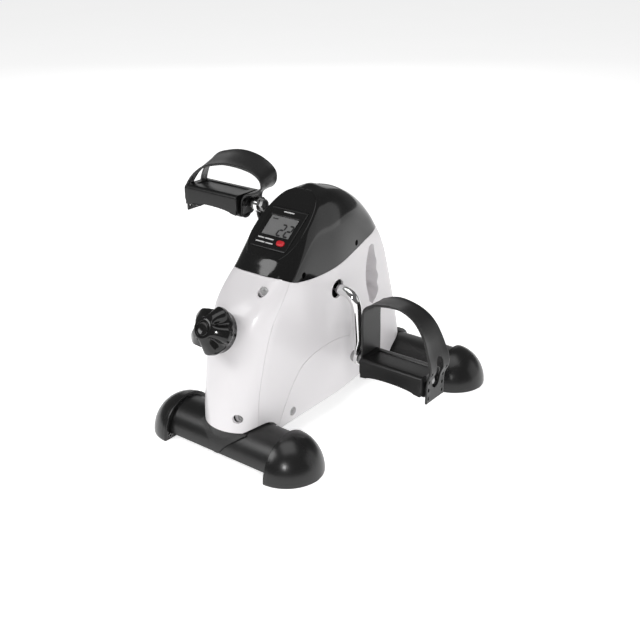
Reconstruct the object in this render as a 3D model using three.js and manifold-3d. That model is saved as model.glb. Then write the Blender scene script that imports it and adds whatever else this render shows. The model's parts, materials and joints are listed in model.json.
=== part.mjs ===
// Pedal exerciser: a small cycle for the floor or a table top, with a friction brake.
// Millimetres. +X is the right-hand side, -Y is towards the user, +Z is up.
// The origin is on the floor, midway between the two feet.
import * as THREE from 'three';
import { mergeVertices } from 'three/addons/utils/BufferGeometryUtils.js';
import Module from 'manifold-3d';

const wasm = await Module();
wasm.setup();

const GAP = 0.3;
const SLIVER = 0.02;

// Feet: D-section steel tubes with domed caps.
const FEET_SPACING = 305;
const FRONT_SPAN = 240;
const REAR_SPAN = 310;
const TUBE_RADIUS = 33.7;
const TUBE_BASE = 8.6;
const TUBE_WALL = 1.5;
const CAP_LENGTH = 44;
const CAP_HALF_DEPTH = 43.2;
const CAP_HEIGHT = 46.8;
const CAP_WALL = 2.2;
const CAP_GRIP = 11;

// Casing: heights are [z, value] pairs, and smooth curves run between them.
const WALL = 2.6;
const NOSE = [[25, -183], [60, -182], [110, -175], [140, -166.5], [160, -158.5], [176, -149],
  [190, -135], [200, -122], [207, -113], [222, -100], [245, -82], [265, -62], [278, -43], [286, -14]];
const TAIL = [[25, 166], [60, 161], [123, 143], [170, 127], [200, 114], [213, 106], [228, 97],
  [245, 82], [258, 66], [270, 46], [279, 26], [286, 0]];
const HALF_WIDTH = [[25, 41], [90, 41], [150, 42], [190, 44], [215, 43.6], [235, 41.6], [250, 38.5],
  [262, 34.3], [272, 28.6], [280, 21], [286, 8]];
const NOSE_DEPTH = [[25, 35], [120, 36], [190, 44], [207, 46], [250, 40], [286, 14]];
const NOSE_POWER = [[25, 2], [120, 2.1], [190, 2.8], [207, 3.2], [245, 3], [286, 2]];
const TAIL_DEPTH = [[25, 36], [170, 38], [207, 46], [245, 60], [286, 20]];
const TAIL_POWER = [[25, 2], [207, 2.1], [250, 2], [286, 2]];
const CASING_LEVELS = [25, 60, 110, 150, 176, 192, 200, 207, 218, 232, 245, 257, 267, 275, 281, 286];
const LINING_LEVELS = [25, 110, 176, 200, 218, 240, 258, 271, 279];
const CASING_BASE = 25;
const PANEL_BASE = 38;
const TAPER_START = -20;
const TAPER_END = 75;
const TAPER = 0.2;
const COVER_EDGE = [[-200, 207], [-112, 207], [-97, 201], [-85, 198], [-56, 194.5], [-19, 195],
  [33, 203], [60, 209], [82, 213], [110, 214], [200, 214]];
const SEAM = [[0, -158], [47, -157], [77, -155], [106, -149], [134, -141], [161, -130], [180, -117],
  [194, -106], [240, -70]];
const LIP_ANGLE = 48;
const LIP_POINT = [-112, 207];

// The opening of the carrying handle: [z, y] along its front edge and its fluted grip.
const HANDLE_FRONT = [[120, 70], [128, 67.5], [146, 61], [165, 58], [180, 58.5], [196, 63]];
const HANDLE_BACK = [[120, 84], [131, 89.5], [141, 86], [151, 87.5], [161, 82.5], [172, 82],
  [183, 77], [196, 74]];

// Display module, on a flat inclined face of the cover.
const DISPLAY_ANGLE = 38.1;
const DISPLAY_ORIGIN = [0, -89, 229.7];
const DISPLAY_WIDTH = 54;
const DISPLAY_LENGTH = 57.2;
const DISPLAY_DEPTH = 20;
const DISPLAY_PROUD = 0.9;
const SCREEN = { x: -0.9, v: 32, width: 41, length: 28 };
const BUTTON = { x: 13.8, v: 10.3, width: 11, length: 7 };

// Crank: one bent steel bar that turns in two bushes.
const CRANK_Y = -11;
const CRANK_Z = 166;
const CRANK_ARM = 87;
const CRANK_TILT = 6;
const BAR = 12.7;
const BEND = 23;
const EYE_X = 69;
const EYE_DIAMETER = 19;
const EYE_THICK = 6;
const AXLE = 8;
const CRANK_HOLE = 23.6;

// Pedals and straps; X is measured from the middle of the machine.
const PEDAL_IN = 86;
const PEDAL_OUT = 172;
const PEDAL_FRONT = -24;
const PEDAL_BACK = 18;
const PEDAL_TOP = 12.4;
const SKIRT_BOTTOM = -10.5;
const END_BOTTOM = -19;
const STRAP_WIDTH = 38;
const STRAP_THICK = 2.6;
const STRAP_SHIFT = 2;

// Tension knob: its axis leans back from the vertical front of the casing.
const KNOB_TILT = 27;
const KNOB_FACE = [0, -198.5, 170.4];
const KNOB_RADIUS = 27.8;
const KNOB_LOBES = 5;
const KNOB_FIRST_LOBE = 72;
const KNOB_DEPTH = 27;
const KNOB_NECK = 12.5;
const BOLT_LENGTH = 92;

// Frame and brake.
const POST_X = 20;
const PLATE = 3;
const RAIL = { width: 36, low: 12, high: 32 };
const DRUM_RADIUS = 40;
const DRUM_WIDTH = 20;

function surface(color, roughness, metalness) {
  return new THREE.MeshStandardMaterial({ color, roughness, metalness });
}
const plastic = (color, roughness) => surface(color, roughness, 0);
const metal = (color, roughness) => surface(color, roughness, 1);
const white = plastic(0xe8e5e8, 0.3);
const glossBlack = plastic(0x1c1c1e, 0.12);
const satinBlack = plastic(0x202022, 0.4);
const darkGrey = plastic(0x3a3a3c, 0.5);
const rubber = plastic(0x2b2a2c, 0.6);
const felt = plastic(0x6f6a60, 0.95);
const screen = plastic(0x8b8d90, 0.25);
const glassClear = plastic(0xc9ced2, 0.05);
const red = plastic(0xc8202a, 0.4);
const board = plastic(0x1f6b3a, 0.6);
const painted = metal(0x232325, 0.45);
const chrome = metal(0xd8d8da, 0.08);
const zinc = metal(0xb0b2b5, 0.35);

const group = new THREE.Group();
const radians = THREE.MathUtils.degToRad;

// ---- Tools ----

function place(name, geometry, material, parent = group) {
  const mesh = new THREE.Mesh(geometry, material);
  mesh.name = name;
  parent.add(mesh);
  return mesh;
}

function solid(geometry) {
  const bare = geometry.clone();
  bare.deleteAttribute('normal');
  bare.deleteAttribute('uv');
  const merged = mergeVertices(bare, 1e-4);
  const vertProperties = new Float32Array(merged.attributes.position.array);
  const triVerts = new Uint32Array(merged.index.array);
  return new wasm.Manifold(new wasm.Mesh({ numProp: 3, vertProperties, triVerts }));
}

// The solid's triangles, without slivers smaller than the tolerance.
function geometryOf(body) {
  const mesh = body.asOriginal().simplify(SLIVER).getMesh();
  const geometry = new THREE.BufferGeometry();
  const positions = new Float32Array(mesh.vertProperties);
  geometry.setAttribute('position', new THREE.BufferAttribute(positions, 3));
  geometry.setIndex(new THREE.BufferAttribute(new Uint32Array(mesh.triVerts), 1));
  geometry.computeVertexNormals();
  return geometry;
}

// The value at one place of a curve through [place, value] pairs.
function along(pairs, at) {
  const last = pairs.length - 1;
  if (at <= pairs[0][0]) return pairs[0][1];
  if (at >= pairs[last][0]) return pairs[last][1];
  const i = pairs.findIndex((pair) => pair[0] > at) - 1;
  const slope = (a, b) => (pairs[b][1] - pairs[a][1]) / (pairs[b][0] - pairs[a][0]);
  const step = pairs[i + 1][0] - pairs[i][0];
  const before = (i > 0 ? slope(i - 1, i + 1) : slope(i, i + 1)) * step;
  const after = (i + 2 <= last ? slope(i, i + 2) : slope(i, i + 1)) * step;
  const t = (at - pairs[i][0]) / step;
  const rise = pairs[i + 1][1] - pairs[i][1];
  return pairs[i][1] + before * t + (3 * rise - 2 * before - after) * t * t
    + (before + after - 2 * rise) * t * t * t;
}

// A closed skin through rings of [x, y, z] points, all counter-clockwise from above.
function skin(rings) {
  const count = rings[0].length;
  const top = (rings.length - 1) * count;
  const index = [];
  for (let r = 0; r < top; r += count) {
    for (let i = 0; i < count; i += 1) {
      const j = (i + 1) % count;
      index.push(r + i, r + j, r + j + count, r + i, r + j + count, r + i + count);
    }
  }
  for (let i = 1; i + 1 < count; i += 1) {
    index.push(0, i + 1, i, top, top + i, top + i + 1);
  }
  const geometry = new THREE.BufferGeometry();
  geometry.setAttribute('position', new THREE.BufferAttribute(new Float32Array(rings.flat(2)), 3));
  geometry.setIndex(index);
  return geometry;
}

function box(x0, x1, y0, y1, z0, z1) {
  const geometry = new THREE.BoxGeometry(x1 - x0, y1 - y0, z1 - z0);
  return geometry.translate((x0 + x1) / 2, (y0 + y1) / 2, (z0 + z1) / 2);
}

// A cylinder along X from x0 to x1.
function rodX(radius, x0, x1, y, z, sides = 20) {
  const geometry = new THREE.CylinderGeometry(radius, radius, x1 - x0, sides);
  return geometry.rotateZ(Math.PI / 2).translate((x0 + x1) / 2, y, z);
}

// A cylinder along Y from y0 to y1.
function rodY(radius, y0, y1, x, z, sides = 20) {
  const geometry = new THREE.CylinderGeometry(radius, radius, y1 - y0, sides);
  return geometry.translate(x, (y0 + y1) / 2, z);
}

// A side view given as [y, z] points, pushed out along X from x0 to x1.
function sideView(points, x0, x1) {
  const shape = new THREE.Shape(points.map(([y, z]) => new THREE.Vector2(y, z)));
  const geometry = new THREE.ExtrudeGeometry(shape, { depth: x1 - x0, bevelEnabled: false });
  const toSide = new THREE.Matrix4().makeBasis(
    new THREE.Vector3(0, 1, 0), new THREE.Vector3(0, 0, 1), new THREE.Vector3(1, 0, 0));
  return geometry.applyMatrix4(toSide).translate(x0, 0, 0);
}

// A front view given as [x, z] points, pushed out along Y from y0 to y1.
function frontView(points, y0, y1) {
  const shape = new THREE.Shape(points.map(([x, z]) => new THREE.Vector2(x, z)));
  const geometry = new THREE.ExtrudeGeometry(shape, { depth: y1 - y0, bevelEnabled: false });
  return geometry.rotateX(Math.PI / 2).translate(0, y1, 0);
}

// A plain outline in the x-y plane, pushed up from z0 to z1.
function planView(points, z0, z1) {
  const shape = new THREE.Shape(points.map(([x, y]) => new THREE.Vector2(x, y)));
  return new THREE.ExtrudeGeometry(shape, { depth: z1 - z0, bevelEnabled: false }).translate(0, 0, z0);
}

// Points round an arc, from one angle to another in degrees.
function arc(cx, cy, rx, ry, from, to, steps) {
  const points = [];
  for (let i = 0; i <= steps; i += 1) {
    const turn = radians(from + ((to - from) * i) / steps);
    points.push([cx + rx * Math.cos(turn), cy + ry * Math.sin(turn)]);
  }
  return points;
}

// ---- Feet ----

// The half-round outline of a foot tube, grown outwards by an offset.
const tubeOutline = (y, grow) => [
  ...arc(y, TUBE_BASE, TUBE_RADIUS + grow, TUBE_RADIUS + grow, 0, 180, 16),
  [y - TUBE_RADIUS - grow, TUBE_BASE - grow],
  [y + TUBE_RADIUS + grow, TUBE_BASE - grow],
];

function footTube(name, y, span) {
  const half = span / 2 - CAP_LENGTH + CAP_GRIP;
  const outer = solid(sideView(tubeOutline(y, 0), -half, half));
  const bore = sideView([
    ...arc(y, TUBE_BASE + TUBE_WALL, TUBE_RADIUS - TUBE_WALL, TUBE_RADIUS - 2 * TUBE_WALL, 0, 180, 16),
  ], -half - 1, half + 1);
  place(name, geometryOf(outer.subtract(solid(bore))), painted);
}

// A quarter-ellipsoid dome over the end of a tube, with its flat side on the floor.
function capDome(rim, shrink, y) {
  const rings = [];
  const steps = 6;
  for (let s = 0; s <= steps; s += 1) {
    const turn = (s / steps) * radians(87);
    const scale = Math.cos(turn);
    const half = (CAP_HALF_DEPTH - shrink) * scale;
    const high = (CAP_HEIGHT - 2 * shrink) * scale;
    const x = rim + (CAP_LENGTH - shrink) * Math.sin(turn);
    rings.push(arc(y, shrink, half, high, 0, 180, 12).map(([py, pz]) => [x, py, pz]));
  }
  return skin(rings);
}

function footCap(name, side, y, span) {
  const rim = span / 2 - CAP_LENGTH;
  const hollow = solid(capDome(rim + CAP_WALL, CAP_WALL, y));
  const socket = solid(sideView(tubeOutline(y, GAP), rim - 1, rim + CAP_GRIP + GAP));
  const cap = solid(capDome(rim, 0, y)).subtract(hollow).subtract(socket);
  place(name, geometryOf(side > 0 ? cap : cap.mirror([1, 0, 0])), satinBlack);
}

// Moulded saddles fill the space between the ends of the casing and the tubes below them.
// Each narrows downwards; its half outline is given as [x, z] points.
const FRONT_TONGUE = [[3, 9.5], [6, 14], [11.5, 20], [18.5, 26], [26, 31.5], [32, 36], [34, 38], [34, 60]];
const REAR_TONGUE = [[14, TUBE_BASE - 3], [15, 18], [17, 26], [20, 33], [20, 60]];

function tongueZone(half, from, to) {
  return solid(frontView([...half, ...half.map(([x, z]) => [-x, z]).reverse()], from, to));
}

function saddles() {
  const y = FEET_SPACING / 2;
  const sleeve = (at, grow) => solid(sideView(tubeOutline(at, grow), -60, 60));
  const nose = arc(0, -146.5, 38, 36, -180, 0, 14);
  const crescent = solid(planView(nose, 16, PANEL_BASE - GAP));
  const front = sleeve(-y, 1.9).add(crescent)
    .intersect(tongueZone(FRONT_TONGUE, -300, -y))
    .intersect(solid(box(-60, 60, -300, 0, 0, PANEL_BASE - GAP)))
    .subtract(sleeve(-y, GAP));
  place('front_saddle', geometryOf(biggest(front)), darkGrey);
  const rear = sleeve(y, 4.6).intersect(tongueZone(REAR_TONGUE, y - 10, 300)).subtract(sleeve(y, GAP));
  place('rear_saddle', geometryOf(biggest(rear)), darkGrey);
}

// ---- Casing ----

function casingRing(z, inset, height = z) {
  const taper = (y) => 1 - TAPER * THREE.MathUtils.smoothstep(y, TAPER_START, TAPER_END);
  const front = along(NOSE, z) + inset;
  const back = along(TAIL, z) - inset;
  const wide = along(HALF_WIDTH, z);
  const quarter = (depth, power, turn) => [
    Math.sin(turn) ** (2 / power), depth * (1 - Math.cos(turn) ** (2 / power))];
  const half = [];
  const add = (share, y) => half.push([Math.max(0, wide * taper(y) - inset) * share, y]);
  const noseSteps = 6;
  for (let i = 0; i <= noseSteps; i += 1) {
    const [share, run] = quarter(along(NOSE_DEPTH, z), along(NOSE_POWER, z), (i / noseSteps) * Math.PI / 2);
    add(share, front + run);
  }
  const sideFrom = front + along(NOSE_DEPTH, z);
  const sideTo = back - along(TAIL_DEPTH, z);
  const sideSteps = 3;
  for (let i = 1; i < sideSteps; i += 1) add(1, sideFrom + ((sideTo - sideFrom) * i) / sideSteps);
  for (let i = noseSteps; i >= 0; i -= 1) {
    const [share, run] = quarter(along(TAIL_DEPTH, z), along(TAIL_POWER, z), (i / noseSteps) * Math.PI / 2);
    add(share, back - run);
  }
  const mirrored = half.slice(1, -1).reverse().map(([x, y]) => [-x, y]);
  return [...half, ...mirrored].map(([x, y]) => [x, y, height]);
}

// Everything below an inclined plane that passes through a [y, z] point.
function belowPlane(point, angle, drop) {
  const rise = Math.tan(radians(angle));
  const [y, z] = [point[0], point[1] - drop / Math.cos(radians(angle))];
  const reach = 240;
  return solid(sideView([[y - reach, -400], [y + reach, -400], [y + reach, z + reach * rise],
    [y - reach, z - reach * rise]], -90, 90));
}

function trimmed(body, drop) {
  const facet = belowPlane([DISPLAY_ORIGIN[1], DISPLAY_ORIGIN[2]], DISPLAY_ANGLE, drop);
  const upper = solid(box(-90, 90, -300, 300, 207 - drop * 0.3, 400));
  const lip = body.intersect(upper).intersect(belowPlane(LIP_POINT, LIP_ANGLE, drop));
  return body.subtract(upper).add(lip).intersect(facet);
}

function casing() {
  const outer = solid(skin(CASING_LEVELS.map((z) => casingRing(z, 0))));
  const innerRings = LINING_LEVELS.map((z) => casingRing(z, WALL, z > 230 ? z - WALL : z));
  innerRings[0] = casingRing(CASING_BASE, WALL, CASING_BASE - 5);
  const inner = solid(skin(innerRings));
  return { outer: trimmed(outer, 0), inner: trimmed(inner, WALL) };
}

// Everything above the cover's lower edge, and everything in front of the panel's seam.
function coverZone(lift) {
  const edge = COVER_EDGE.flatMap(([y], i) => {
    if (i === 0) return [y];
    const before = COVER_EDGE[i - 1][0];
    return [(before + y) / 2, y];
  });
  const points = edge.map((y) => [y, along(COVER_EDGE, y) + lift]);
  return solid(sideView([...points, [200, 330], [-200, 330]], -90, 90));
}

function panelZone(shift) {
  const heights = [];
  for (let z = 0; z <= 240; z += 12) heights.push(z);
  const points = heights.map((z) => [along(SEAM, z) + shift, z]);
  return solid(sideView([[-260, 0], ...points, [-260, 240]], -90, 90));
}

function handleOutline(grow) {
  const front = HANDLE_FRONT.map(([z, y]) => [y - grow, z]);
  const back = HANDLE_BACK.map(([z, y]) => [y + grow, z]).reverse();
  const top = [[(HANDLE_FRONT.at(-1)[1] + HANDLE_BACK.at(-1)[1]) / 2, 199 + grow]];
  const base = [[(HANDLE_FRONT[0][1] + HANDLE_BACK[0][1]) / 2, 115 - grow]];
  return [...base, ...back.reverse(), ...top, ...front.reverse()];
}

// Screws are given by where their heads sit and which way they face.
const SCREWS = [
  { name: 'panel_screw_upper', x: 24, y: -126, z: 195, way: 'y', wide: 11, pair: false },
  { name: 'panel_screw_lower', x: 24, y: -172, z: 56, way: 'y', wide: 11, pair: false },
  { name: 'side_screw', x: 41, y: -97, z: 37, way: 'x', wide: 11, pair: false },
  { name: 'cover_screw_front', x: 40, y: -77, z: 204, way: 'x', wide: 7, pair: true },
  { name: 'cover_screw_rear', x: 37, y: 32, z: 211, way: 'x', wide: 7, pair: true },
];

function screwRod(screw, radius, from, to) {
  if (screw.way === 'x') return solid(rodX(radius, screw.x - to, screw.x - from, screw.y, screw.z, 14));
  return solid(rodY(radius, screw.y + from, screw.y + to, screw.x, screw.z, 14));
}

// Each screw sits at the bottom of a round recess, in a boss on the inside of the wall.
function bossAndBore(screw) {
  const boss = screwRod(screw, screw.wide / 2 + 2, 1, 9);
  const recess = screwRod(screw, screw.wide / 2, -12, 5);
  const bore = screwRod(screw, 2, 0, 12);
  return { boss, bore: recess.add(bore) };
}

function bothSides(body) {
  return body.add(body.mirror([1, 0, 0]));
}

function casingPieces() {
  const { outer, inner } = casing();
  const handle = solid(sideView(handleOutline(0), -60, 60));
  const lining = solid(sideView(handleOutline(WALL), -60, 60)).intersect(outer);
  let shell = outer.subtract(inner).add(lining).subtract(handle);
  for (const screw of SCREWS) {
    const { boss, bore } = bossAndBore(screw);
    shell = shell.add(bothSides(boss).intersect(outer)).subtract(screw.pair ? bothSides(bore) : bore);
  }
  for (const y of [-FEET_SPACING / 2, FEET_SPACING / 2]) {
    const clear = y < 0 ? 2 : 5;
    shell = shell.subtract(solid(sideView(tubeOutline(y, clear), -90, 90)));
  }
  shell = shell.subtract(solid(rodX(CRANK_HOLE / 2, -60, 60, CRANK_Y, CRANK_Z, 28)));

  const cover = shell.intersect(coverZone(GAP));
  const body = shell.subtract(coverZone(0));
  const front = body.intersect(panelZone(0)).subtract(solid(box(-90, 90, -260, -100, 0, PANEL_BASE)));
  const rest = body.subtract(panelZone(GAP));
  const right = rest.intersect(solid(box(GAP / 2, 90, -300, 300, 0, 300)));
  const left = rest.intersect(solid(box(-90, -GAP / 2, -300, 300, 0, 300)));
  return { cover, front, right, left };
}

function biggest(body) {
  return body.decompose().reduce((a, b) => (b.volume() > a.volume() ? b : a));
}

const displayFrame = new THREE.Group();
displayFrame.position.set(...DISPLAY_ORIGIN);
displayFrame.rotation.x = radians(DISPLAY_ANGLE);
group.add(displayFrame);
displayFrame.updateMatrix();

function displayPocket() {
  const half = DISPLAY_WIDTH / 2 + GAP;
  const hole = box(-half, half, -GAP, DISPLAY_LENGTH + GAP, -8, 10);
  return solid(hole.applyMatrix4(displayFrame.matrix));
}

function buildCasing() {
  const { cover, front, right, left } = casingPieces();
  const knobWay = new THREE.CylinderGeometry(6, 6, 60, 20).translate(0, -60, 0);
  knobWay.applyMatrix4(knobFrame.matrix);
  place('top_cover', geometryOf(biggest(cover.subtract(displayPocket()))), glossBlack);
  place('front_panel', geometryOf(biggest(front.subtract(solid(knobWay)))), white);
  place('side_shell_right', geometryOf(biggest(right)), white);
  place('side_shell_left', geometryOf(biggest(left)), white);
}

function buildScrews() {
  for (const screw of SCREWS) {
    const head = screwRod(screw, screw.wide / 2 - GAP - 0.4, 2.6, 4.7);
    const shank = screwRod(screw, 1.6, 4, 15);
    const body = head.add(shank);
    place(screw.pair ? `${screw.name}_right` : screw.name, geometryOf(body), zinc);
    if (screw.pair) place(`${screw.name}_left`, geometryOf(body.mirror([1, 0, 0])), zinc);
  }
}

// ---- Display module ----

function ovalPoints(x, v, width, length, steps = 6) {
  const r = length / 2;
  const reach = width / 2 - r;
  return [...arc(x + reach, v, r, r, -90, 90, steps), ...arc(x - reach, v, r, r, 90, 270, steps)];
}

function buildDisplay() {
  const half = DISPLAY_WIDTH / 2;
  const shellWall = 1.6;
  const skinWall = 1.2;
  const outer = box(-half, half, 0, DISPLAY_LENGTH, -DISPLAY_DEPTH, DISPLAY_PROUD);
  const cavity = box(-half + shellWall, half - shellWall, shellWall, DISPLAY_LENGTH - shellWall,
    -DISPLAY_DEPTH + shellWall, DISPLAY_PROUD - skinWall);
  const window = box(SCREEN.x - SCREEN.width / 2, SCREEN.x + SCREEN.width / 2,
    SCREEN.v - SCREEN.length / 2, SCREEN.v + SCREEN.length / 2, -4, 4);
  const door = box(-22, 22, 6, 24, -DISPLAY_DEPTH - 1, -DISPLAY_DEPTH + 4);
  const buttonHole = planView(
    ovalPoints(BUTTON.x, BUTTON.v, BUTTON.width + 0.7, BUTTON.length + 0.7), -4, 4);
  const housing = solid(outer).subtract(solid(cavity)).subtract(solid(window))
    .subtract(solid(door)).subtract(solid(buttonHole));
  place('display_housing', geometryOf(housing), glossBlack, displayFrame);
  place('display_window', box(SCREEN.x - SCREEN.width / 2 + GAP, SCREEN.x + SCREEN.width / 2 - GAP,
    SCREEN.v - SCREEN.length / 2 + GAP, SCREEN.v + SCREEN.length / 2 - GAP, -0.4, 0.5),
  glassClear, displayFrame);
  place('lcd_panel', box(-22.5, 21, 17, 47, -3.4, -0.8), screen, displayFrame);
  place('circuit_board', box(-24, 24, 3, 54, -6.2, -4.6), board, displayFrame);
  const cell = new THREE.CylinderGeometry(5.2, 5.2, 44, 16).rotateZ(Math.PI / 2).translate(0, 15, -12);
  place('battery_cell', cell, zinc, displayFrame);
  place('battery_door', box(-21.7, 21.7, 6.3, 23.7, -DISPLAY_DEPTH, -DISPLAY_DEPTH + 1.5),
    satinBlack, displayFrame);
  const cap = solid(planView(ovalPoints(BUTTON.x, BUTTON.v, BUTTON.width, BUTTON.length), -2, 2.2));
  const flange = solid(planView(
    ovalPoints(BUTTON.x, BUTTON.v, BUTTON.width + 3, BUTTON.length + 3), -2.4, -0.8));
  place('reset_button', geometryOf(cap.add(flange)), red, displayFrame);
}

// ---- Frame ----

function buildFrame() {
  const feet = [-FEET_SPACING / 2, FEET_SPACING / 2];
  let rail = solid(box(-RAIL.width / 2, RAIL.width / 2, -135, 135, RAIL.low, RAIL.high));
  rail = rail.subtract(solid(box(-RAIL.width / 2 + 2, RAIL.width / 2 - 2, -140, 140,
    RAIL.low + 2, RAIL.high - 2)));
  for (const y of feet) rail = rail.subtract(solid(sideView(tubeOutline(y, GAP), -60, 60)));
  place('base_rail', geometryOf(biggest(rail)), painted);

  const foot = RAIL.high + GAP;
  const plate = sideView([[-62, foot], [52, foot], [14, 150], [14, 178], [-3, 219], [-27, 219],
    [-36, 178], [-36, 150]], 0, PLATE);
  const right = solid(plate.translate(POST_X, 0, 0));
  const base = solid(box(-POST_X - 1, POST_X + 1, -62, 52, foot, foot + PLATE));
  const web = solid(box(-POST_X - 1, POST_X + 1, -6, -3, foot + 1, 112));
  const bore = solid(rodX(9.8, -60, 60, CRANK_Y, CRANK_Z, 24));
  place('frame_post', geometryOf(bothSides(right).add(base).add(web).subtract(bore)), painted);

  const ear = solid(box(27, 30, -105, -89, foot, 52))
    .add(solid(box(0, 30, -105, -89, foot, foot + 2.5)));
  const pilot = solid(rodX(2, -60, 60, -97, 37, 14));
  place('shell_bracket', geometryOf(bothSides(ear).subtract(pilot)), zinc);

  for (const side of [1, -1]) {
    const flange = POST_X + PLATE + GAP;
    const profile = [[6.7, POST_X - 3], [9.5, POST_X - 3], [9.5, flange], [13, flange],
      [13, POST_X + PLATE + 3], [6.7, POST_X + PLATE + 3], [6.7, POST_X - 3]];
    const bush = new THREE.LatheGeometry(profile.map(([r, x]) => new THREE.Vector2(r, x)), 24);
    bush.rotateZ(-side * Math.PI / 2);
    if (side < 0) bush.rotateX(Math.PI);
    bush.translate(0, CRANK_Y, CRANK_Z);
    place(side > 0 ? 'crank_bush_right' : 'crank_bush_left', geometryOf(solid(bush)), satinBlack);
  }
}

// ---- Crank and brake ----

const armEnd = (side) => new THREE.Vector3(side * EYE_X,
  CRANK_Y + side * CRANK_ARM * Math.sin(radians(CRANK_TILT)),
  CRANK_Z - side * CRANK_ARM * Math.cos(radians(CRANK_TILT)));

function buildCrank() {
  const middle = (x) => new THREE.Vector3(x, CRANK_Y, CRANK_Z);
  const path = new THREE.CurvePath();
  const corner = (side) => middle(side * EYE_X);
  const down = (side, run) => corner(side).lerp(armEnd(side), run / CRANK_ARM);
  path.add(new THREE.LineCurve3(down(1, CRANK_ARM - 4), down(1, BEND)));
  path.add(new THREE.QuadraticBezierCurve3(down(1, BEND), corner(1), middle(EYE_X - BEND)));
  path.add(new THREE.LineCurve3(middle(EYE_X - BEND), middle(BEND - EYE_X)));
  path.add(new THREE.QuadraticBezierCurve3(middle(BEND - EYE_X), corner(-1), down(-1, BEND)));
  path.add(new THREE.LineCurve3(down(-1, BEND), down(-1, CRANK_ARM - 4)));
  const round = new THREE.Shape(arc(0, 0, BAR / 2, BAR / 2, 0, 330, 11)
    .map(([x, y]) => new THREE.Vector2(x, y)));
  const bent = { steps: 44, bevelEnabled: false, extrudePath: path };
  let crank = solid(new THREE.ExtrudeGeometry(round, bent));
  for (const side of [1, -1]) {
    const { x, y, z } = armEnd(side);
    crank = crank.add(solid(rodX(EYE_DIAMETER / 2, x - EYE_THICK / 2, x + EYE_THICK / 2, y, z, 24)));
    const flat = solid(box(x - 20, x - EYE_THICK / 2, y - 12, y + 12, z - 10, z + 10))
      .add(solid(box(x + EYE_THICK / 2, x + 20, y - 12, y + 12, z - 10, z + 10)));
    crank = crank.subtract(flat).subtract(solid(rodX(AXLE / 2 + GAP, x - 9, x + 9, y, z, 16)));
  }
  place('crank', geometryOf(crank), chrome);

  const drum = solid(rodX(DRUM_RADIUS, -DRUM_WIDTH / 2, DRUM_WIDTH / 2, CRANK_Y, CRANK_Z, 40))
    .subtract(solid(rodX(BAR / 2 + GAP, -30, 30, CRANK_Y, CRANK_Z, 20)))
    .subtract(solid(rodX(4.2, -12, -6, CRANK_Y, CRANK_Z - 30, 12)));
  place('brake_drum', geometryOf(drum), satinBlack);
  place('speed_magnet', rodX(3.9, -DRUM_WIDTH / 2 - 1, -6.3, CRANK_Y, CRANK_Z - 30, 12), zinc);
}

// The friction band hangs on the anchor, wraps the back of the drum and runs forwards under it.
function buildBrake() {
  const inside = DRUM_RADIUS + 0.5;
  const outside = inside + 2.2;
  const band = (r, from, to) => arc(CRANK_Y, CRANK_Z, r, r, from, to, 24);
  const outline = [...band(inside, -94, 100), ...band(outside, 100, -94), [-56, 126], [-56, 128.2]];
  place('brake_band', sideView(outline, -8, 8), felt);
  const anchorZ = CRANK_Z + outside + 3.2;
  place('band_anchor', rodX(2.6, -POST_X + GAP, POST_X - GAP, CRANK_Y - 4, anchorZ, 12), zinc);
  const sensor = box(-19.6, -13, CRANK_Y - 6, CRANK_Y + 2, CRANK_Z - 40, CRANK_Z - 24);
  place('reed_sensor', sensor, satinBlack);
  const route = [[-16, CRANK_Y - 6.5, 134], [-16, -32, 132], [-12, -62, 160], [-6, -76, 196], [0, -69, 211.3]];
  const wire = new THREE.CatmullRomCurve3(route.map((p) => new THREE.Vector3(...p)));
  const round = new THREE.Shape(arc(0, 0, 1, 1, 0, 315, 7).map(([x, y]) => new THREE.Vector2(x, y)));
  const run = { steps: 30, bevelEnabled: false, extrudePath: wire };
  place('sensor_wire', new THREE.ExtrudeGeometry(round, run), satinBlack);
}

// ---- Pedals ----

// The straps' middle lines, as [x, z] from the axle: the right one arches high, the left one low.
const RIGHT_STRAP = [[84.1, -12], [84.1, 30], [84.2, 66], [87.5, 75.5], [98, 80.5], [115, 83.5],
  [133, 82], [150, 75], [164, 62], [173.5, 46], [179.5, 31], [180.5, 19], [176.8, 8], [175.2, 0],
  [175.2, -23]];
const LEFT_STRAP = [[84.1, -12], [84.1, 9], [81.5, 19], [78.3, 29], [78.8, 38], [85, 46], [97, 51],
  [113, 53], [130, 51], [146, 45], [160, 34], [171, 20], [175.6, 9], [175.2, 0], [175.2, -23]];

// A band of even thickness along a line of [x, z] points.
function bandOutline(points, thick) {
  const curve = new THREE.SplineCurve(points.map(([x, z]) => new THREE.Vector2(x, z)));
  const outer = [];
  const inner = [];
  const steps = 2 * (points.length - 1);
  for (let i = 0; i <= steps; i += 1) {
    const p = curve.getPoint(i / steps);
    const t = curve.getTangent(i / steps);
    outer.push([p.x - t.y * thick / 2, p.y + t.x * thick / 2]);
    inner.push([p.x + t.y * thick / 2, p.y - t.x * thick / 2]);
  }
  return [...outer, ...inner.reverse()];
}

function strap(points) {
  const low = STRAP_SHIFT - STRAP_WIDTH / 2;
  const band = solid(frontView(bandOutline(points, STRAP_THICK), low, low + STRAP_WIDTH));
  const tabHole = new THREE.Shape([...arc(0, 0, 8, 8, 180, 360, 8), ...arc(0, 26, 5, 5, 0, 180, 6)]
    .map(([y, z]) => new THREE.Vector2(y, z)));
  const toSide = new THREE.Matrix4().makeBasis(
    new THREE.Vector3(0, 1, 0), new THREE.Vector3(0, 0, 1), new THREE.Vector3(1, 0, 0));
  const keyhole = new THREE.ExtrudeGeometry(tabHole, { depth: 60, bevelEnabled: false });
  keyhole.applyMatrix4(toSide).translate(130, 0, 0);
  return band.subtract(solid(keyhole)).subtract(solid(rodX(2, 70, 90, -12, 2, 12)))
    .subtract(solid(rodX(5, 70, 90, 0, 0, 16)));
}

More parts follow.
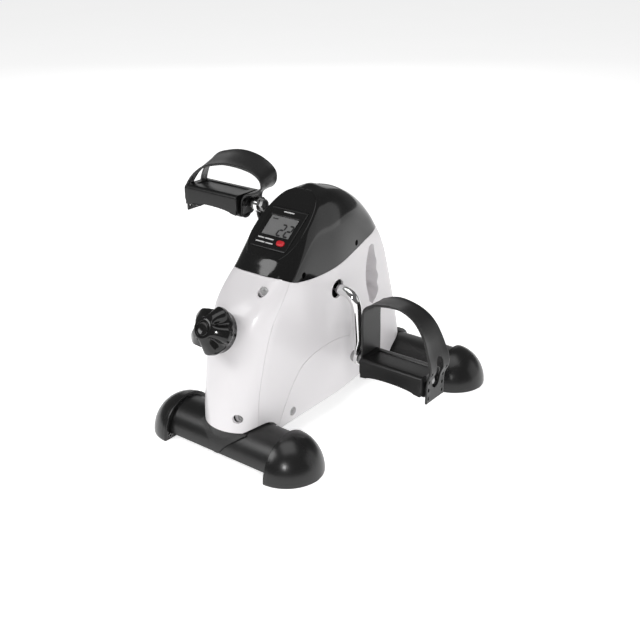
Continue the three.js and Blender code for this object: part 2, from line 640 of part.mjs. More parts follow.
function pedalBody() {
  const edge = (low) => [[PEDAL_FRONT + 4, PEDAL_TOP], [PEDAL_FRONT, PEDAL_TOP - 4], ...low,
    [PEDAL_BACK, PEDAL_TOP - 4], [PEDAL_BACK - 4, PEDAL_TOP]];
  const middle = edge([[PEDAL_FRONT, SKIRT_BOTTOM], [PEDAL_BACK, SKIRT_BOTTOM]]);
  const end = edge([[PEDAL_FRONT, SKIRT_BOTTOM], [PEDAL_FRONT + 6, END_BOTTOM + 2],
    [-8, END_BOTTOM], [4, END_BOTTOM + 2], [PEDAL_BACK - 2, -4]]);
  const bar = solid(sideView(middle, PEDAL_IN + 1, PEDAL_OUT - 1));
  const cavity = solid(box(PEDAL_IN + 5, PEDAL_OUT - 7, PEDAL_FRONT + 3, PEDAL_BACK - 3,
    -30, PEDAL_TOP - 3.2));
  const ends = solid(sideView(end, PEDAL_IN, PEDAL_IN + 6))
    .add(solid(sideView(end, PEDAL_OUT - 8, PEDAL_OUT)));
  const boss = solid(rodX(8, PEDAL_IN + 2, PEDAL_OUT - 3, 0, 0, 16));
  const bore = solid(rodX(AXLE / 2 + GAP, PEDAL_IN - 2, PEDAL_OUT + 2, 0, 0, 16));
  const recess = solid(rodX(8, PEDAL_OUT - 4, PEDAL_OUT + 2, 0, 0, 16));
  const pegHole = solid(rodX(1.9, PEDAL_IN - 1, PEDAL_IN + 5.5, -12, 2, 12));
  return bar.subtract(cavity).add(ends).add(boss).subtract(bore).subtract(recess).subtract(pegHole);
}

// The axle is a shouldered pin: shoulder against the crank eye, thread through the eye.
function axlePin() {
  const profile = [[0, 60.6], [4, 60.6], [4, 72.3], [8, 72.3], [8, 76.5], [6, 79], [6, 81.5],
    [4, 81.5], [4, 174.2], [0, 174.2]];
  const pin = new THREE.LatheGeometry(profile.map(([r, x]) => new THREE.Vector2(r, x)), 18);
  return solid(pin.rotateZ(-Math.PI / 2));
}

function ringX(inner, outer, x0, x1, sides) {
  return solid(rodX(outer, x0, x1, 0, 0, sides)).subtract(solid(rodX(inner, x0 - 1, x1 + 1, 0, 0, 16)));
}

function strapPeg() {
  return solid(rodX(1.6, 79.5, 91, -12, 2, 12)).add(solid(rodX(4.5, 79.5, 82.4, -12, 2, 12)));
}

function buildPedals() {
  for (const side of [1, -1]) {
    const word = side > 0 ? 'right' : 'left';
    const { y, z } = armEnd(side);
    const sided = (body) => geometryOf(side > 0 ? body : body.mirror([1, 0, 0])).translate(0, y, z);
    place(`pedal_${word}`, sided(pedalBody()), satinBlack);
    place(`strap_${word}`, sided(strap(side > 0 ? RIGHT_STRAP : LEFT_STRAP)), rubber);
    place(`strap_peg_${word}`, sided(strapPeg()), satinBlack);
    place(`pedal_axle_${word}`, sided(axlePin()), zinc);
    const hole = AXLE / 2 + GAP;
    place(`crank_nut_${word}`, sided(ringX(hole, 7.4, 60, 65.7, 6)), zinc);
    place(`axle_end_nut_${word}`, sided(ringX(hole, 6.6, PEDAL_OUT - 3.6, PEDAL_OUT + 0.6, 6)), zinc);
  }
}

// ---- Tension knob ----

// In this group the knob's axis is +Y, with its face at y = 0 and the casing below.
const knobFrame = new THREE.Group();
knobFrame.position.set(...KNOB_FACE);
knobFrame.rotation.x = radians(180 - KNOB_TILT);
group.add(knobFrame);
knobFrame.updateMatrix();

// The knob's outline: lobes that spread quickly from the hub, with scoops between them.
function knobRadius(turn, depth) {
  if (depth <= 1.2) return 11.3 + (1.7 * depth) / 1.2;
  const lobe = 13 + (KNOB_RADIUS - 13) * Math.min(1, (depth - 1.2) / 12) ** 0.75;
  const scoop = 13 + (KNOB_RADIUS - 15) * THREE.MathUtils.smoothstep(depth, 5, 24);
  const share = (0.5 - 0.5 * Math.cos(KNOB_LOBES * (turn - radians(KNOB_FIRST_LOBE)))) ** 1.3;
  return lobe - Math.max(0, lobe - scoop) * share;
}

function buildKnob() {
  const levels = [KNOB_DEPTH + KNOB_NECK, 27.02, KNOB_DEPTH, 24, 20.5, 17, 13.5, 10.5, 7.5, 4.5, 1.2, 0];
  const rings = levels.map((depth) => arc(0, 0, 1, 1, 0, 354, 59).map(([x, y]) => {
    const radius = depth > KNOB_DEPTH ? 9.5 : knobRadius(Math.atan2(y, x), depth);
    return [radius * x, radius * y, -depth];
  }));
  const grip = skin(rings).rotateX(-Math.PI / 2);
  const capSeat = new THREE.CylinderGeometry(8.6, 8.6, 6, 24).translate(0, 1.4, 0);
  const bore = new THREE.CylinderGeometry(4.3, 4.3, 60, 16).translate(0, -38, 0);
  const knob = solid(grip).subtract(solid(capSeat)).subtract(solid(bore));
  place('tension_knob', geometryOf(knob), glossBlack, knobFrame);
  const cap = new THREE.CylinderGeometry(8.2, 8.2, 1.2, 24).translate(0, -0.6, 0);
  place('knob_cap', cap, glossBlack, knobFrame);
  const head = 9;
  const bolt = new THREE.CylinderGeometry(4, 4, BOLT_LENGTH - head, 16);
  place('tension_bolt', bolt.translate(0, -(BOLT_LENGTH + head) / 2, 0), zinc, knobFrame);
  const thread = new THREE.CylinderGeometry(4.3, 4.3, 40, 16).translate(0, -80, 0);
  const block = solid(box(-9, 9, -86, -76, -7, 7)).subtract(solid(thread));
  place('tension_block', geometryOf(block), zinc, knobFrame);
}

// A stirrup on the sides of the tension block; the loose end of the band hooks round its far bar.
function buildLink() {
  const flank = solid(sideView([[-130, 130], [-62, 124], [-62, 132], [-130, 138]], 9.3, 10.8));
  const bar = solid(box(-10.8, 10.8, -64, -62, 124.2, 131.8));
  place('band_link', geometryOf(bothSides(flank).add(bar)), zinc);
}

buildCasing();
buildScrews();
buildDisplay();
buildFrame();
buildCrank();
buildBrake();
buildPedals();
buildKnob();
buildLink();
footTube('front_foot_tube', -FEET_SPACING / 2, FRONT_SPAN);
footTube('rear_foot_tube', FEET_SPACING / 2, REAR_SPAN);
for (const [word, side] of [['right', 1], ['left', -1]]) {
  footCap(`front_foot_cap_${word}`, side, -FEET_SPACING / 2, FRONT_SPAN);
  footCap(`rear_foot_cap_${word}`, side, FEET_SPACING / 2, REAR_SPAN);
}
saddles();

export default group;
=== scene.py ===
"""Pedal exerciser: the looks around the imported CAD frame.

+X is the right side, -Y the user's side and Z up. Lengths are millimetres until a mesh is made.
"""

import json
import math

import bmesh
import bpy
import numpy as np
from mathutils import Matrix, Vector


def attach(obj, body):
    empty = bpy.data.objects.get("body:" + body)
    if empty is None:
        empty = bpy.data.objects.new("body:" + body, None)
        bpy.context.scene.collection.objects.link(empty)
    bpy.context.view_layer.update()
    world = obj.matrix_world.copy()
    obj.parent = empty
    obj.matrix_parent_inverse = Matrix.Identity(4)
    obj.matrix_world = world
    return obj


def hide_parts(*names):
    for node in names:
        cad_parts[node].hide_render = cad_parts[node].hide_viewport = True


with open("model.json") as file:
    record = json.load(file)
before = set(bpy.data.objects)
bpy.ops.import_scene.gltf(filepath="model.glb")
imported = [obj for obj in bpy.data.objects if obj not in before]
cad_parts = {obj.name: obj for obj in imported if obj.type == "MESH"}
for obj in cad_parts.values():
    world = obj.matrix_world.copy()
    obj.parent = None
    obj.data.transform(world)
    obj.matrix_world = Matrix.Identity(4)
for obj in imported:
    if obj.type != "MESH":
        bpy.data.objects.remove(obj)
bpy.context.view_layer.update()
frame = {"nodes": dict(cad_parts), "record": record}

MM = 0.001
WALL = 2.6
SEAM_GAP = 0.5

# Casing: heights are (z, value) pairs, and smooth curves run between them.
NOSE = [(25, -183), (60, -182), (110, -175), (140, -166.5), (160, -158.5), (176, -149), (190, -135),
        (200, -122), (207, -113), (222, -100), (245, -82), (265, -62), (278, -43), (286, -14)]
TAIL = [(25, 166), (60, 161), (123, 143), (170, 127), (200, 114), (213, 106), (228, 97), (245, 82),
        (258, 66), (270, 46), (279, 26), (286, 0)]
HALF_WIDTH = [(25, 41), (90, 41), (150, 42), (190, 44), (215, 43.6), (235, 41.6), (250, 38.5),
              (262, 34.3), (272, 28.6), (280, 21), (286, 8)]
NOSE_DEPTH = [(25, 35), (120, 36), (190, 44), (207, 46), (250, 40), (286, 14)]
NOSE_POWER = [(25, 2), (120, 2.1), (190, 2.8), (207, 3.2), (245, 3), (286, 2)]
TAIL_DEPTH = [(25, 36), (170, 38), (207, 46), (245, 60), (286, 20)]
TAIL_POWER = [(25, 2), (207, 2.1), (250, 2), (286, 2)]
TAPER, TAPER_START, TAPER_END = 0.2, -20, 75
CASING_BASE, CASING_CREST, PANEL_BASE = 25, 286, 38
COVER_EDGE = [(-200, 207), (-112, 207), (-97, 201), (-85, 198), (-56, 194.5), (-19, 195), (33, 203),
              (60, 209), (82, 213), (110, 214), (200, 214)]
SEAM = [(0, -158), (47, -157), (77, -155), (106, -149), (134, -141), (161, -130), (180, -117),
        (194, -106), (240, -70)]
HANDLE_FRONT = [(120, 70), (128, 67.5), (146, 61), (165, 58), (180, 58.5), (196, 63)]
HANDLE_BACK = [(120, 84), (131, 89.5), (141, 86), (151, 87.5), (161, 82.5), (172, 82), (183, 77),
               (196, 74)]
CREASE = [(-123, 31.5), (-110, 53), (-95, 74), (-77, 90), (-50, 98), (-22, 100), (0, 97.5), (21, 92)]
FACET_ANGLE, FACET_POINT = 38.1, (-89, 229.7)
LIP_ANGLE, LIP_POINT = 48, (-112, 207)
BEAD_RADIUS, BEAD_TOP = 0.55, 283.5
SHOULDER, CROWN, BLUNTEST = 200, 1.7, 0.96
CREASE_HALF_WIDTH, CREASE_DEPTH = 0.55, 0.5
CRANK_HOLE, KNOB_HOLE = 11.8, 10.2
BOSS_WALL, BOSS_DEPTH, RECESS_DEPTH = 2, 9, 5

# Feet, crank, pedals and knob.
FEET_SPACING, FRONT_SPAN, REAR_SPAN = 305, 240, 310
TUBE_RADIUS, TUBE_BASE = 33.7, 8.6
TUBE_WALL, TUBE_IN_CAP = 1.5, 11
CAP_LENGTH, CAP_HALF_DEPTH, CAP_HEIGHT = 44, 43.2, 46.8
FRONT_SLEEVE, REAR_SLEEVE, SADDLE_GAP = 1.9, 4.6, 0.3
FRONT_TONGUE = [(3, 9.5), (6, 14), (11.5, 20), (18.5, 26), (26, 31.5), (32, 36), (34, 38), (34, 60)]
REAR_TONGUE = [(14, 5.6), (15, 18), (17, 26), (20, 33), (20, 60)]
CRANK_Y, CRANK_Z, CRANK_ARM, CRANK_TILT = -11, 166, 87, 6
BAR, BEND, EYE_X = 12.7, 23, 69
AXLE_RADIUS, AXLE_END, CRANK_NUT, END_NUT = 4, 174.2, 12.8, 11.4
PEDAL_IN, PEDAL_OUT, PEDAL_FRONT, PEDAL_BACK, PEDAL_TOP = 86, 172, -24, 18, 12.4
KNOB_FACE, KNOB_TILT, KNOB_LOBES, KNOB_FIRST_LOBE = (0, -198.5, 170.4), 27, 5, 72
KNOB_RADIUS, KNOB_FLANGE, KNOB_HUB, KNOB_BACK = 27.8, 24.5, 13, 30
DISPLAY_WIDTH, DISPLAY_LENGTH, DISPLAY_PROUD = 54, 57.2, 0.9
SCREEN = {"x": -0.9, "v": 32, "width": 41, "length": 28}
BUTTON = {"x": 13.8, "v": 10.3, "width": 11, "length": 7}
LCD_TOP, INK_HEIGHT = -0.9, 0.12


# ---------------------------------------------------------------- materials

def noise(tree, scale, detail=3.0):
    """A noise factor in the object's own coordinates."""
    where = tree.nodes.new("ShaderNodeTexCoord")
    texture = tree.nodes.new("ShaderNodeTexNoise")
    texture.inputs["Scale"].default_value = scale
    texture.inputs["Detail"].default_value = detail
    tree.links.new(where.outputs["Object"], texture.inputs["Vector"])
    return texture.outputs["Fac"]


def ramp(tree, factor, low, high):
    """The middle of the factor's range spread between two values or two colours."""
    node = tree.nodes.new("ShaderNodeValToRGB")
    for element, place, value in zip(node.color_ramp.elements, (0.35, 0.65), (low, high)):
        element.position = place
        element.color = (*value, 1) if isinstance(value, tuple) else (value, value, value, 1)
    tree.links.new(factor, node.inputs["Fac"])
    return node.outputs["Color"]


def material(name, dark, light, rough, bump, grain, metallic=0.0, coat=0.0, ior=1.5, mottling=9.0):
    """A moulded or plated surface: mottled colour, uneven roughness and a fine grain."""
    made = bpy.data.materials.new(name)
    made.use_nodes = True
    tree = made.node_tree
    shader = tree.nodes["Principled BSDF"]
    shader.inputs["Metallic"].default_value = metallic
    shader.inputs["IOR"].default_value = ior
    shader.inputs["Coat Weight"].default_value = coat
    shader.inputs["Coat Roughness"].default_value = 0.04
    broad = noise(tree, mottling, 4.0)
    fine = noise(tree, grain, 2.0)
    tree.links.new(ramp(tree, broad, dark, light), shader.inputs["Base Color"])
    tree.links.new(ramp(tree, broad, *rough), shader.inputs["Roughness"])
    relief = tree.nodes.new("ShaderNodeBump")
    relief.inputs["Strength"].default_value = bump
    relief.inputs["Distance"].default_value = 0.0004
    tree.links.new(fine, relief.inputs["Height"])
    tree.links.new(relief.outputs["Normal"], shader.inputs["Normal"])
    return made


def grey(value, tint=(1, 1, 1)):
    return tuple(value * t for t in tint)


WHITE = material("white_shell", grey(0.772, (1, 0.972, 0.99)), grey(0.778, (1, 0.973, 0.99)),
                 (0.275, 0.285), 0.015, 900, coat=0.15, mottling=3.0)
GLOSS = material("cover_black", grey(0.006), grey(0.008), (0.08, 0.12), 0.004, 700, coat=0.1, ior=1.45)
KNOB_GLOSS = material("knob_black", grey(0.005), grey(0.007), (0.08, 0.12), 0.01, 900,
                      coat=0.1, ior=1.45)
BEZEL = material("bezel_black", grey(0.005), grey(0.007), (0.24, 0.3), 0.02, 1400, ior=1.4)
LCD = material("lcd_grey", grey(0.2), grey(0.22), (0.3, 0.36), 0.0, 800)
INK = material("lcd_ink", grey(0.012), grey(0.016), (0.3, 0.4), 0.0, 800)
MARK = material("print_white", grey(0.55), grey(0.62), (0.4, 0.5), 0.02, 1500)
RED = material("button_red", (0.5, 0.012, 0.02), (0.58, 0.018, 0.026), (0.28, 0.36), 0.03, 1500,
               coat=0.1)
BOARD = material("board_green", (0.01, 0.1, 0.03), (0.015, 0.14, 0.045), (0.4, 0.5), 0.1, 600)
HEAD = material("screw_head", grey(0.4), grey(0.46), (0.4, 0.5), 0.05, 1500)
ZINC = material("zinc", grey(0.27), grey(0.34), (0.25, 0.38), 0.06, 1200, metallic=1.0)
FRAME_PAINT = material("frame_black", grey(0.007), grey(0.01), (0.3, 0.38), 0.1, 700)
CHROME = material("chrome", grey(0.72), grey(0.8), (0.03, 0.07), 0.01, 500, metallic=1.0)
NYLON = material("nylon_black", grey(0.014), grey(0.02), (0.45, 0.55), 0.05, 900)
FELT = material("felt", (0.13, 0.12, 0.1), (0.2, 0.18, 0.15), (0.9, 0.98), 0.6, 500)
PEDAL = material("pedal_black", grey(0.006), grey(0.009), (0.28, 0.38), 0.12, 1300, ior=1.42)
RUBBER = material("strap_rubber", grey(0.011), grey(0.016), (0.34, 0.42), 0.08, 1100)
CAP = material("cap_black", grey(0.008), grey(0.011), (0.24, 0.3), 0.05, 1200)
SADDLE = material("saddle_grey", grey(0.016), grey(0.023), (0.42, 0.52), 0.08, 900)

WINDOW = bpy.data.materials.new("window_clear")
WINDOW.use_nodes = True
pane = WINDOW.node_tree.nodes["Principled BSDF"]
pane.inputs["Base Color"].default_value = (0.02, 0.022, 0.022, 1)
pane.inputs["Alpha"].default_value = 0.06
WINDOW.node_tree.links.new(ramp(WINDOW.node_tree, noise(WINDOW.node_tree, 40), 0.05, 0.09),
                           pane.inputs["Roughness"])

LOOKS = {"white_shell": WHITE, "cover_black": GLOSS, "knob_black": KNOB_GLOSS, "bezel_black": BEZEL,
         "window_clear": WINDOW, "lcd_grey": LCD, "board_green": BOARD, "button_red": RED, "zinc": ZINC,
         "frame_black": FRAME_PAINT, "chrome": CHROME, "nylon_black": NYLON, "felt": FELT,
         "pedal_black": PEDAL, "strap_rubber": RUBBER, "cap_black": CAP, "saddle_grey": SADDLE}

for part in frame["record"]["subparts"]:
    node = frame["nodes"][part["node"]]
    for place in node.material_slots:
        place.material = LOOKS[part["material_slot"]]


# ---------------------------------------------------------------- mesh tools

def along(pairs, at):
    """The value at one place of a smooth curve through (place, value) pairs."""
    last = len(pairs) - 1
    if at <= pairs[0][0]:
        return pairs[0][1]
    if at >= pairs[last][0]:
        return pairs[last][1]
    i = next(k for k, pair in enumerate(pairs) if pair[0] > at) - 1

    def slope(a, b):
        return (pairs[b][1] - pairs[a][1]) / (pairs[b][0] - pairs[a][0])

    step = pairs[i + 1][0] - pairs[i][0]
    before = (slope(i - 1, i + 1) if i > 0 else slope(i, i + 1)) * step
    after = (slope(i, i + 2) if i + 2 <= last else slope(i, i + 1)) * step
    t = (at - pairs[i][0]) / step
    rise = pairs[i + 1][1] - pairs[i][1]
    return (pairs[i][1] + before * t + (3 * rise - 2 * before - after) * t ** 2
            + (before + after - 2 * rise) * t ** 3)


def curve_points(pairs, steps):
    """Even steps along a smooth curve through (place, value) pairs."""
    places = np.linspace(pairs[0][0], pairs[-1][0], steps)
    return [(p, along(pairs, p)) for p in places]


def spline(points, steps):
    """A smooth line through points of any dimension, with the given steps in each stretch."""
    p = np.asarray(points, float)
    p = np.vstack([2 * p[0] - p[1], p, 2 * p[-1] - p[-2]])
    out = []
    for i in range(1, len(p) - 2):
        for s in range(steps):
            t = s / steps
            out.append(0.5 * (2 * p[i] + (p[i + 1] - p[i - 1]) * t
                              + (2 * p[i - 1] - 5 * p[i] + 4 * p[i + 1] - p[i + 2]) * t ** 2
                              + (3 * p[i] - p[i - 1] - 3 * p[i + 1] + p[i + 2]) * t ** 3))
    out.append(p[-2])
    return np.array(out)


def oblong(left, right, low, high):
    return [(left, low), (right, low), (right, high), (left, high)]


def arc(cx, cy, rx, ry, start, end, steps):
    turns = np.radians(np.linspace(start, end, steps + 1))
    return [(cx + rx * math.cos(t), cy + ry * math.sin(t)) for t in turns]


def new_object(name, points, faces):
    """A mesh object from points in millimetres, with its faces turned outwards."""
    mesh = bpy.data.meshes.new(name)
    mesh.from_pydata([tuple(float(c) * MM for c in p) for p in points], [], faces)
    made = bpy.data.objects.new(name, mesh)
    bpy.context.collection.objects.link(made)
    work = bmesh.new()
    work.from_mesh(mesh)
    bmesh.ops.remove_doubles(work, verts=work.verts, dist=2e-6)
    bmesh.ops.recalc_face_normals(work, faces=work.faces)
    if work.calc_volume(signed=True) < 0:
        bmesh.ops.reverse_faces(work, faces=work.faces)
    work.to_mesh(mesh)
    work.free()
    return made


def loft(name, rings, ends=True):
    """A closed skin through rings of equal count."""
    count = len(rings[0])
    points = [p for ring in rings for p in ring]
    faces = []
    for r in range(len(rings) - 1):
        for i in range(count):
            j = (i + 1) % count
            a, b = r * count, (r + 1) * count
            faces.append((a + i, a + j, b + j, b + i))
    if ends:
        faces.append(tuple(range(count))[::-1])
        faces.append(tuple((len(rings) - 1) * count + i for i in range(count)))
    return new_object(name, points, faces)


def prism(name, outline, low, high, axis):
    """A flat outline pushed out along an axis; its two values are the other two axes in order."""
    def at(a, b, c):
        return {"x": (c, a, b), "y": (a, c, b), "z": (a, b, c)}[axis]

    return loft(name, [[at(a, b, low) for a, b in outline], [at(a, b, high) for a, b in outline]])


def lathe(name, profile, steps, axis, centre=(0, 0, 0)):
    """A turned solid from (radius, height) pairs that start and end on or near the axis."""
    turns = np.linspace(0, 2 * math.pi, steps, endpoint=False)
    order = {"x": (2, 0, 1), "y": (1, 2, 0)}[axis]
    rings = []
    for radius, height in profile:
        ring = []
        for t in turns:
            flat = (max(radius, 0.02) * math.cos(t), max(radius, 0.02) * math.sin(t), height)
            ring.append(tuple(flat[k] + centre[i] for i, k in enumerate(order)))
        rings.append(ring)
    return loft(name, rings)


def cylinder(name, radius, low, high, steps, axis="x", centre=(0, 0, 0)):
    return lathe(name, [(0, low), (radius, low), (radius, high), (0, high)], steps, axis, centre)


def sweep(name, path, radius, steps):
    """A round bar along a line of points."""
    path = np.asarray(path, float)
    tangents = np.gradient(path, axis=0)
    tangents /= np.linalg.norm(tangents, axis=1)[:, None]
    side = np.cross(tangents[0], (0.3, 0.9, 0.2))
    rings = []
    for point, tangent in zip(path, tangents):
        side = side - tangent * side.dot(tangent)
        side /= np.linalg.norm(side)
        other = np.cross(tangent, side)
        rings.append([point + radius * (math.cos(t) * side + math.sin(t) * other)
                      for t in np.linspace(0, 2 * math.pi, steps, endpoint=False)])
    return loft(name, rings)


def settle(piece):
    """Applies the modifiers, so that the piece can be joined or cut."""
    shown = piece.evaluated_get(bpy.context.evaluated_depsgraph_get())
    settled = bpy.data.meshes.new_from_object(shown)
    piece.modifiers.clear()
    piece.data = settled
    return piece


def carve(target, tool, how="DIFFERENCE"):
    """Cuts, joins or keeps the part shared with the tool, and removes the tool."""
    modifier = target.modifiers.new("cut", "BOOLEAN")
    modifier.operation = how
    modifier.solver = "MANIFOLD"
    modifier.object = tool
    settle(target)
    bpy.data.objects.remove(tool)
    return target


def copy_of(piece, name):
    made = piece.copy()
    made.data = piece.data.copy()
    made.name = name
    bpy.context.collection.objects.link(made)
    return made


def flip(piece):
    piece.data.transform(Matrix.Diagonal((-1, 1, 1, 1)))
    piece.data.flip_normals()
    return piece


def mirrored(piece, name):
    """The same piece on the other side of the machine."""
    return flip(copy_of(piece, name))


def join(pieces):
    """One object holding all the meshes, each with the material that it had."""
    first = pieces[0]
    slots = list(first.data.materials)
    work = bmesh.new()
    work.from_mesh(first.data)
    for piece in pieces[1:]:
        start = len(work.faces)
        work.from_mesh(piece.data)
        work.faces.ensure_lookup_table()
        own = list(piece.data.materials)
        for face in work.faces[start:]:
            look = own[face.material_index]
            if look not in slots:
                slots.append(look)
            face.material_index = slots.index(look)
        bpy.data.objects.remove(piece)
    work.to_mesh(first.data)
    work.free()
    for look in slots[len(first.data.materials):]:
        first.data.materials.append(look)
    return first


def paint(piece, look):
    piece.data.materials.clear()
    piece.data.materials.append(look)
    return piece


def rounded(piece, width, angle):
    """Rounds every edge sharper than the angle, with smooth shading over the result."""
    modifier = piece.modifiers.new("edges", "BEVEL")
    modifier.width = width * MM
    modifier.segments = 3
    modifier.limit_method = "ANGLE"
    modifier.angle_limit = math.radians(angle)
    modifier.harden_normals = True
    return smooth(piece, 180)


def smooth(piece, angle):
    """Smooth shading across every edge flatter than the angle."""
    piece.data.shade_smooth()
    if angle < 180:
        piece.data.set_sharp_from_angle(angle=math.radians(angle))
    return piece


def stands_for(piece, body, node):
    """The piece moves with its body and is shown in place of the CAD node."""
    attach(piece, body)
    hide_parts(node)


# ---------------------------------------------------------------- casing

def smoothstep(x, low, high):
    t = min(1, max(0, (x - low) / (high - low)))
    return t * t * (3 - 2 * t)


def casing_ring(z, inset, height):
    """The outline of the casing at one level, moved in by the inset and drawn at a height."""
    front = along(NOSE, z) + inset
    back = along(TAIL, z) - inset
    wide = along(HALF_WIDTH, z)
    nose_depth, nose_power = along(NOSE_DEPTH, z), along(NOSE_POWER, z)
    tail_depth, tail_power = along(TAIL_DEPTH, z), along(TAIL_POWER, z)
    # Near the crest the two round ends would meet, so both are made shorter.
    squeeze = min(1, BLUNTEST * (back - front) / (nose_depth + tail_depth))
    nose_depth, tail_depth = nose_depth * squeeze, tail_depth * squeeze
    half = []

    def add(share, y):
        taper = 1 - TAPER * smoothstep(y, TAPER_START, TAPER_END)
        half.append((max(0.0, wide * taper - inset) * share, y))

    corner_steps, side_steps = 22, 16
    turns = [math.pi / 2 * i / corner_steps for i in range(corner_steps + 1)]
    for turn in turns:
        sine, cosine = (wave(turn) ** (2 / nose_power) for wave in (math.sin, math.cos))
        add(sine, front + nose_depth * (1 - cosine))
    start, end = front + nose_depth, back - tail_depth
    for i in range(1, side_steps):
        add(1, start + (end - start) * i / side_steps)
    for turn in reversed(turns):
        sine, cosine = (wave(turn) ** (2 / tail_power) for wave in (math.sin, math.cos))
        add(sine, back - tail_depth * (1 - cosine))
    whole = half + [(-x, y) for x, y in reversed(half[1:-1])]
    return [(x, y, height) for x, y in whole]


def shrunk(ring, share, height):
    """A ring drawn in towards its middle, at a new height."""
    middle = np.mean(np.array(ring), axis=0)
    return [tuple(middle[:2] + (np.array(p[:2]) - middle[:2]) * share) + (height,) for p in ring]


def casing_skin(name, inset):
    """The casing's outside, or with an inset its inside; above the shoulder the inset also lowers it."""
    levels = [*np.linspace(CASING_BASE, SHOULDER, 42), *np.linspace(SHOULDER + 3, 262, 24),
              *np.linspace(264, CASING_CREST, 16)]
    rings = []
    for z in levels:
        drop = inset * max(0, z - SHOULDER) / (CASING_CREST - SHOULDER)
        rings.append(casing_ring(z, inset, z - drop))
    if inset:
        rings = [[(x, y, CASING_BASE - 6) for x, y, _ in rings[0]], *rings]
    top = rings[-1]
    for share in (0.8, 0.6, 0.4, 0.2, 0.05):
        rings.append(shrunk(top, share, CASING_CREST - inset + CROWN * (1 - share ** 2)))
    return loft(name, rings)


def facet_cut(name, drop):
    """Everything above the display's flat face and the lip in front of it."""
    steep, slope = math.tan(math.radians(LIP_ANGLE)), math.tan(math.radians(FACET_ANGLE))
    lip_z = LIP_POINT[1] - drop / math.cos(math.radians(LIP_ANGLE))
    face_z = FACET_POINT[1] - drop / math.cos(math.radians(FACET_ANGLE))
    meet = (face_z - slope * FACET_POINT[0] - lip_z + steep * LIP_POINT[0]) / (steep - slope)
    floor = LIP_POINT[1] - 0.3 * drop
    start = LIP_POINT[0] + (floor - lip_z) / steep
    far_front, far_back = -320, 160
    far_top = face_z + slope * (far_back - FACET_POINT[0])
    outline = [(far_front, floor), (start, floor), (meet, lip_z + steep * (meet - LIP_POINT[0])),
               (far_back, far_top), (far_front, far_top)]
    return prism(name, outline, -110, 110, "x")


def handle_outline(grow):
    """The grip opening behind the crank, with finger grooves in its back edge."""
    front = [(y - grow, z) for z, y in curve_points(HANDLE_FRONT, 26)]
    back = [(y + grow, z) for z, y in curve_points(HANDLE_BACK, 40)]
    top = [((front[-1][0] + back[-1][0]) / 2, 199 + grow)]
    base = [((front[0][0] + back[0][0]) / 2, 115 - grow)]
    return base + back + top + front[::-1]


# Each screw sits at the bottom of a round recess: (x, y, z, axis, recess diameter, on both sides).
SCREWS = [(24, -126, 195, "y", 11, False), (24, -172, 56, "y", 11, False), (41, -97, 37, "x", 11, False),
          (40, -77, 204, "x", 7, True), (37, 32, 211, "x", 7, True)]


def rod(name, screw, radius, start, end, side):
    """A cylinder on a screw's line, from one depth to another, on the right or the left side."""
    x, y, z, axis, _, _ = screw
    if axis == "y":
        return cylinder(name, radius, start, end, 40, "y", (x, y, z))
    made = cylinder(name, radius, -end, -start, 40, "x", (x, y, z))
    return made if side > 0 else flip(made)


def bosses_and_recesses(shell, outer):
    """Each screw goes into a boss inside the wall, at the bottom of a recess."""
    for screw in SCREWS:
        *_, recess, both = screw
        for side in ((1, -1) if both else (1,)):
            boss = rod("boss", screw, recess / 2 + BOSS_WALL, 1, BOSS_DEPTH, side)
            carve(boss, copy_of(outer, "outer_copy"), "INTERSECT")
            carve(shell, boss, "UNION")
            carve(shell, rod("recess", screw, recess / 2, -14, RECESS_DEPTH, side))


def crease_groove():
    """The decorative crease: a fine groove that follows the wall of each side."""
    line = spline(CREASE, 6)
    tangents = np.gradient(line, axis=0)
    tangents /= np.linalg.norm(tangents, axis=1)[:, None]
    normals = np.stack([-tangents[:, 1], tangents[:, 0]], axis=1) * CREASE_HALF_WIDTH
    above, below = [tuple(p) for p in line + normals], [tuple(p) for p in (line - normals)[::-1]]
    band = prism("crease", above + below, -60, 60, "x")
    return carve(band, casing_skin("crease_floor", CREASE_DEPTH))


def cover_zone(lift):
    """Everything above the cover's lower edge, on both sides."""
    edge = [(y, z + lift) for y, z in curve_points(COVER_EDGE, 90)]
    return prism("cover_zone", edge + [(200, 330), (-200, 330)], -110, 110, "x")


def panel_zone(shift):
    """Everything in front of the front panel's seam."""
    seam = [(y + shift, z) for z, y in curve_points(SEAM, 60)]
    return prism("panel_zone", [(-260, 0), *seam, (-260, 240)], -110, 110, "x")


def half_zone(start, end):
    """Everything on one side of the machine's middle plane."""
    return prism("half", oblong(-400, 400, -10, 400), start, end, "x")


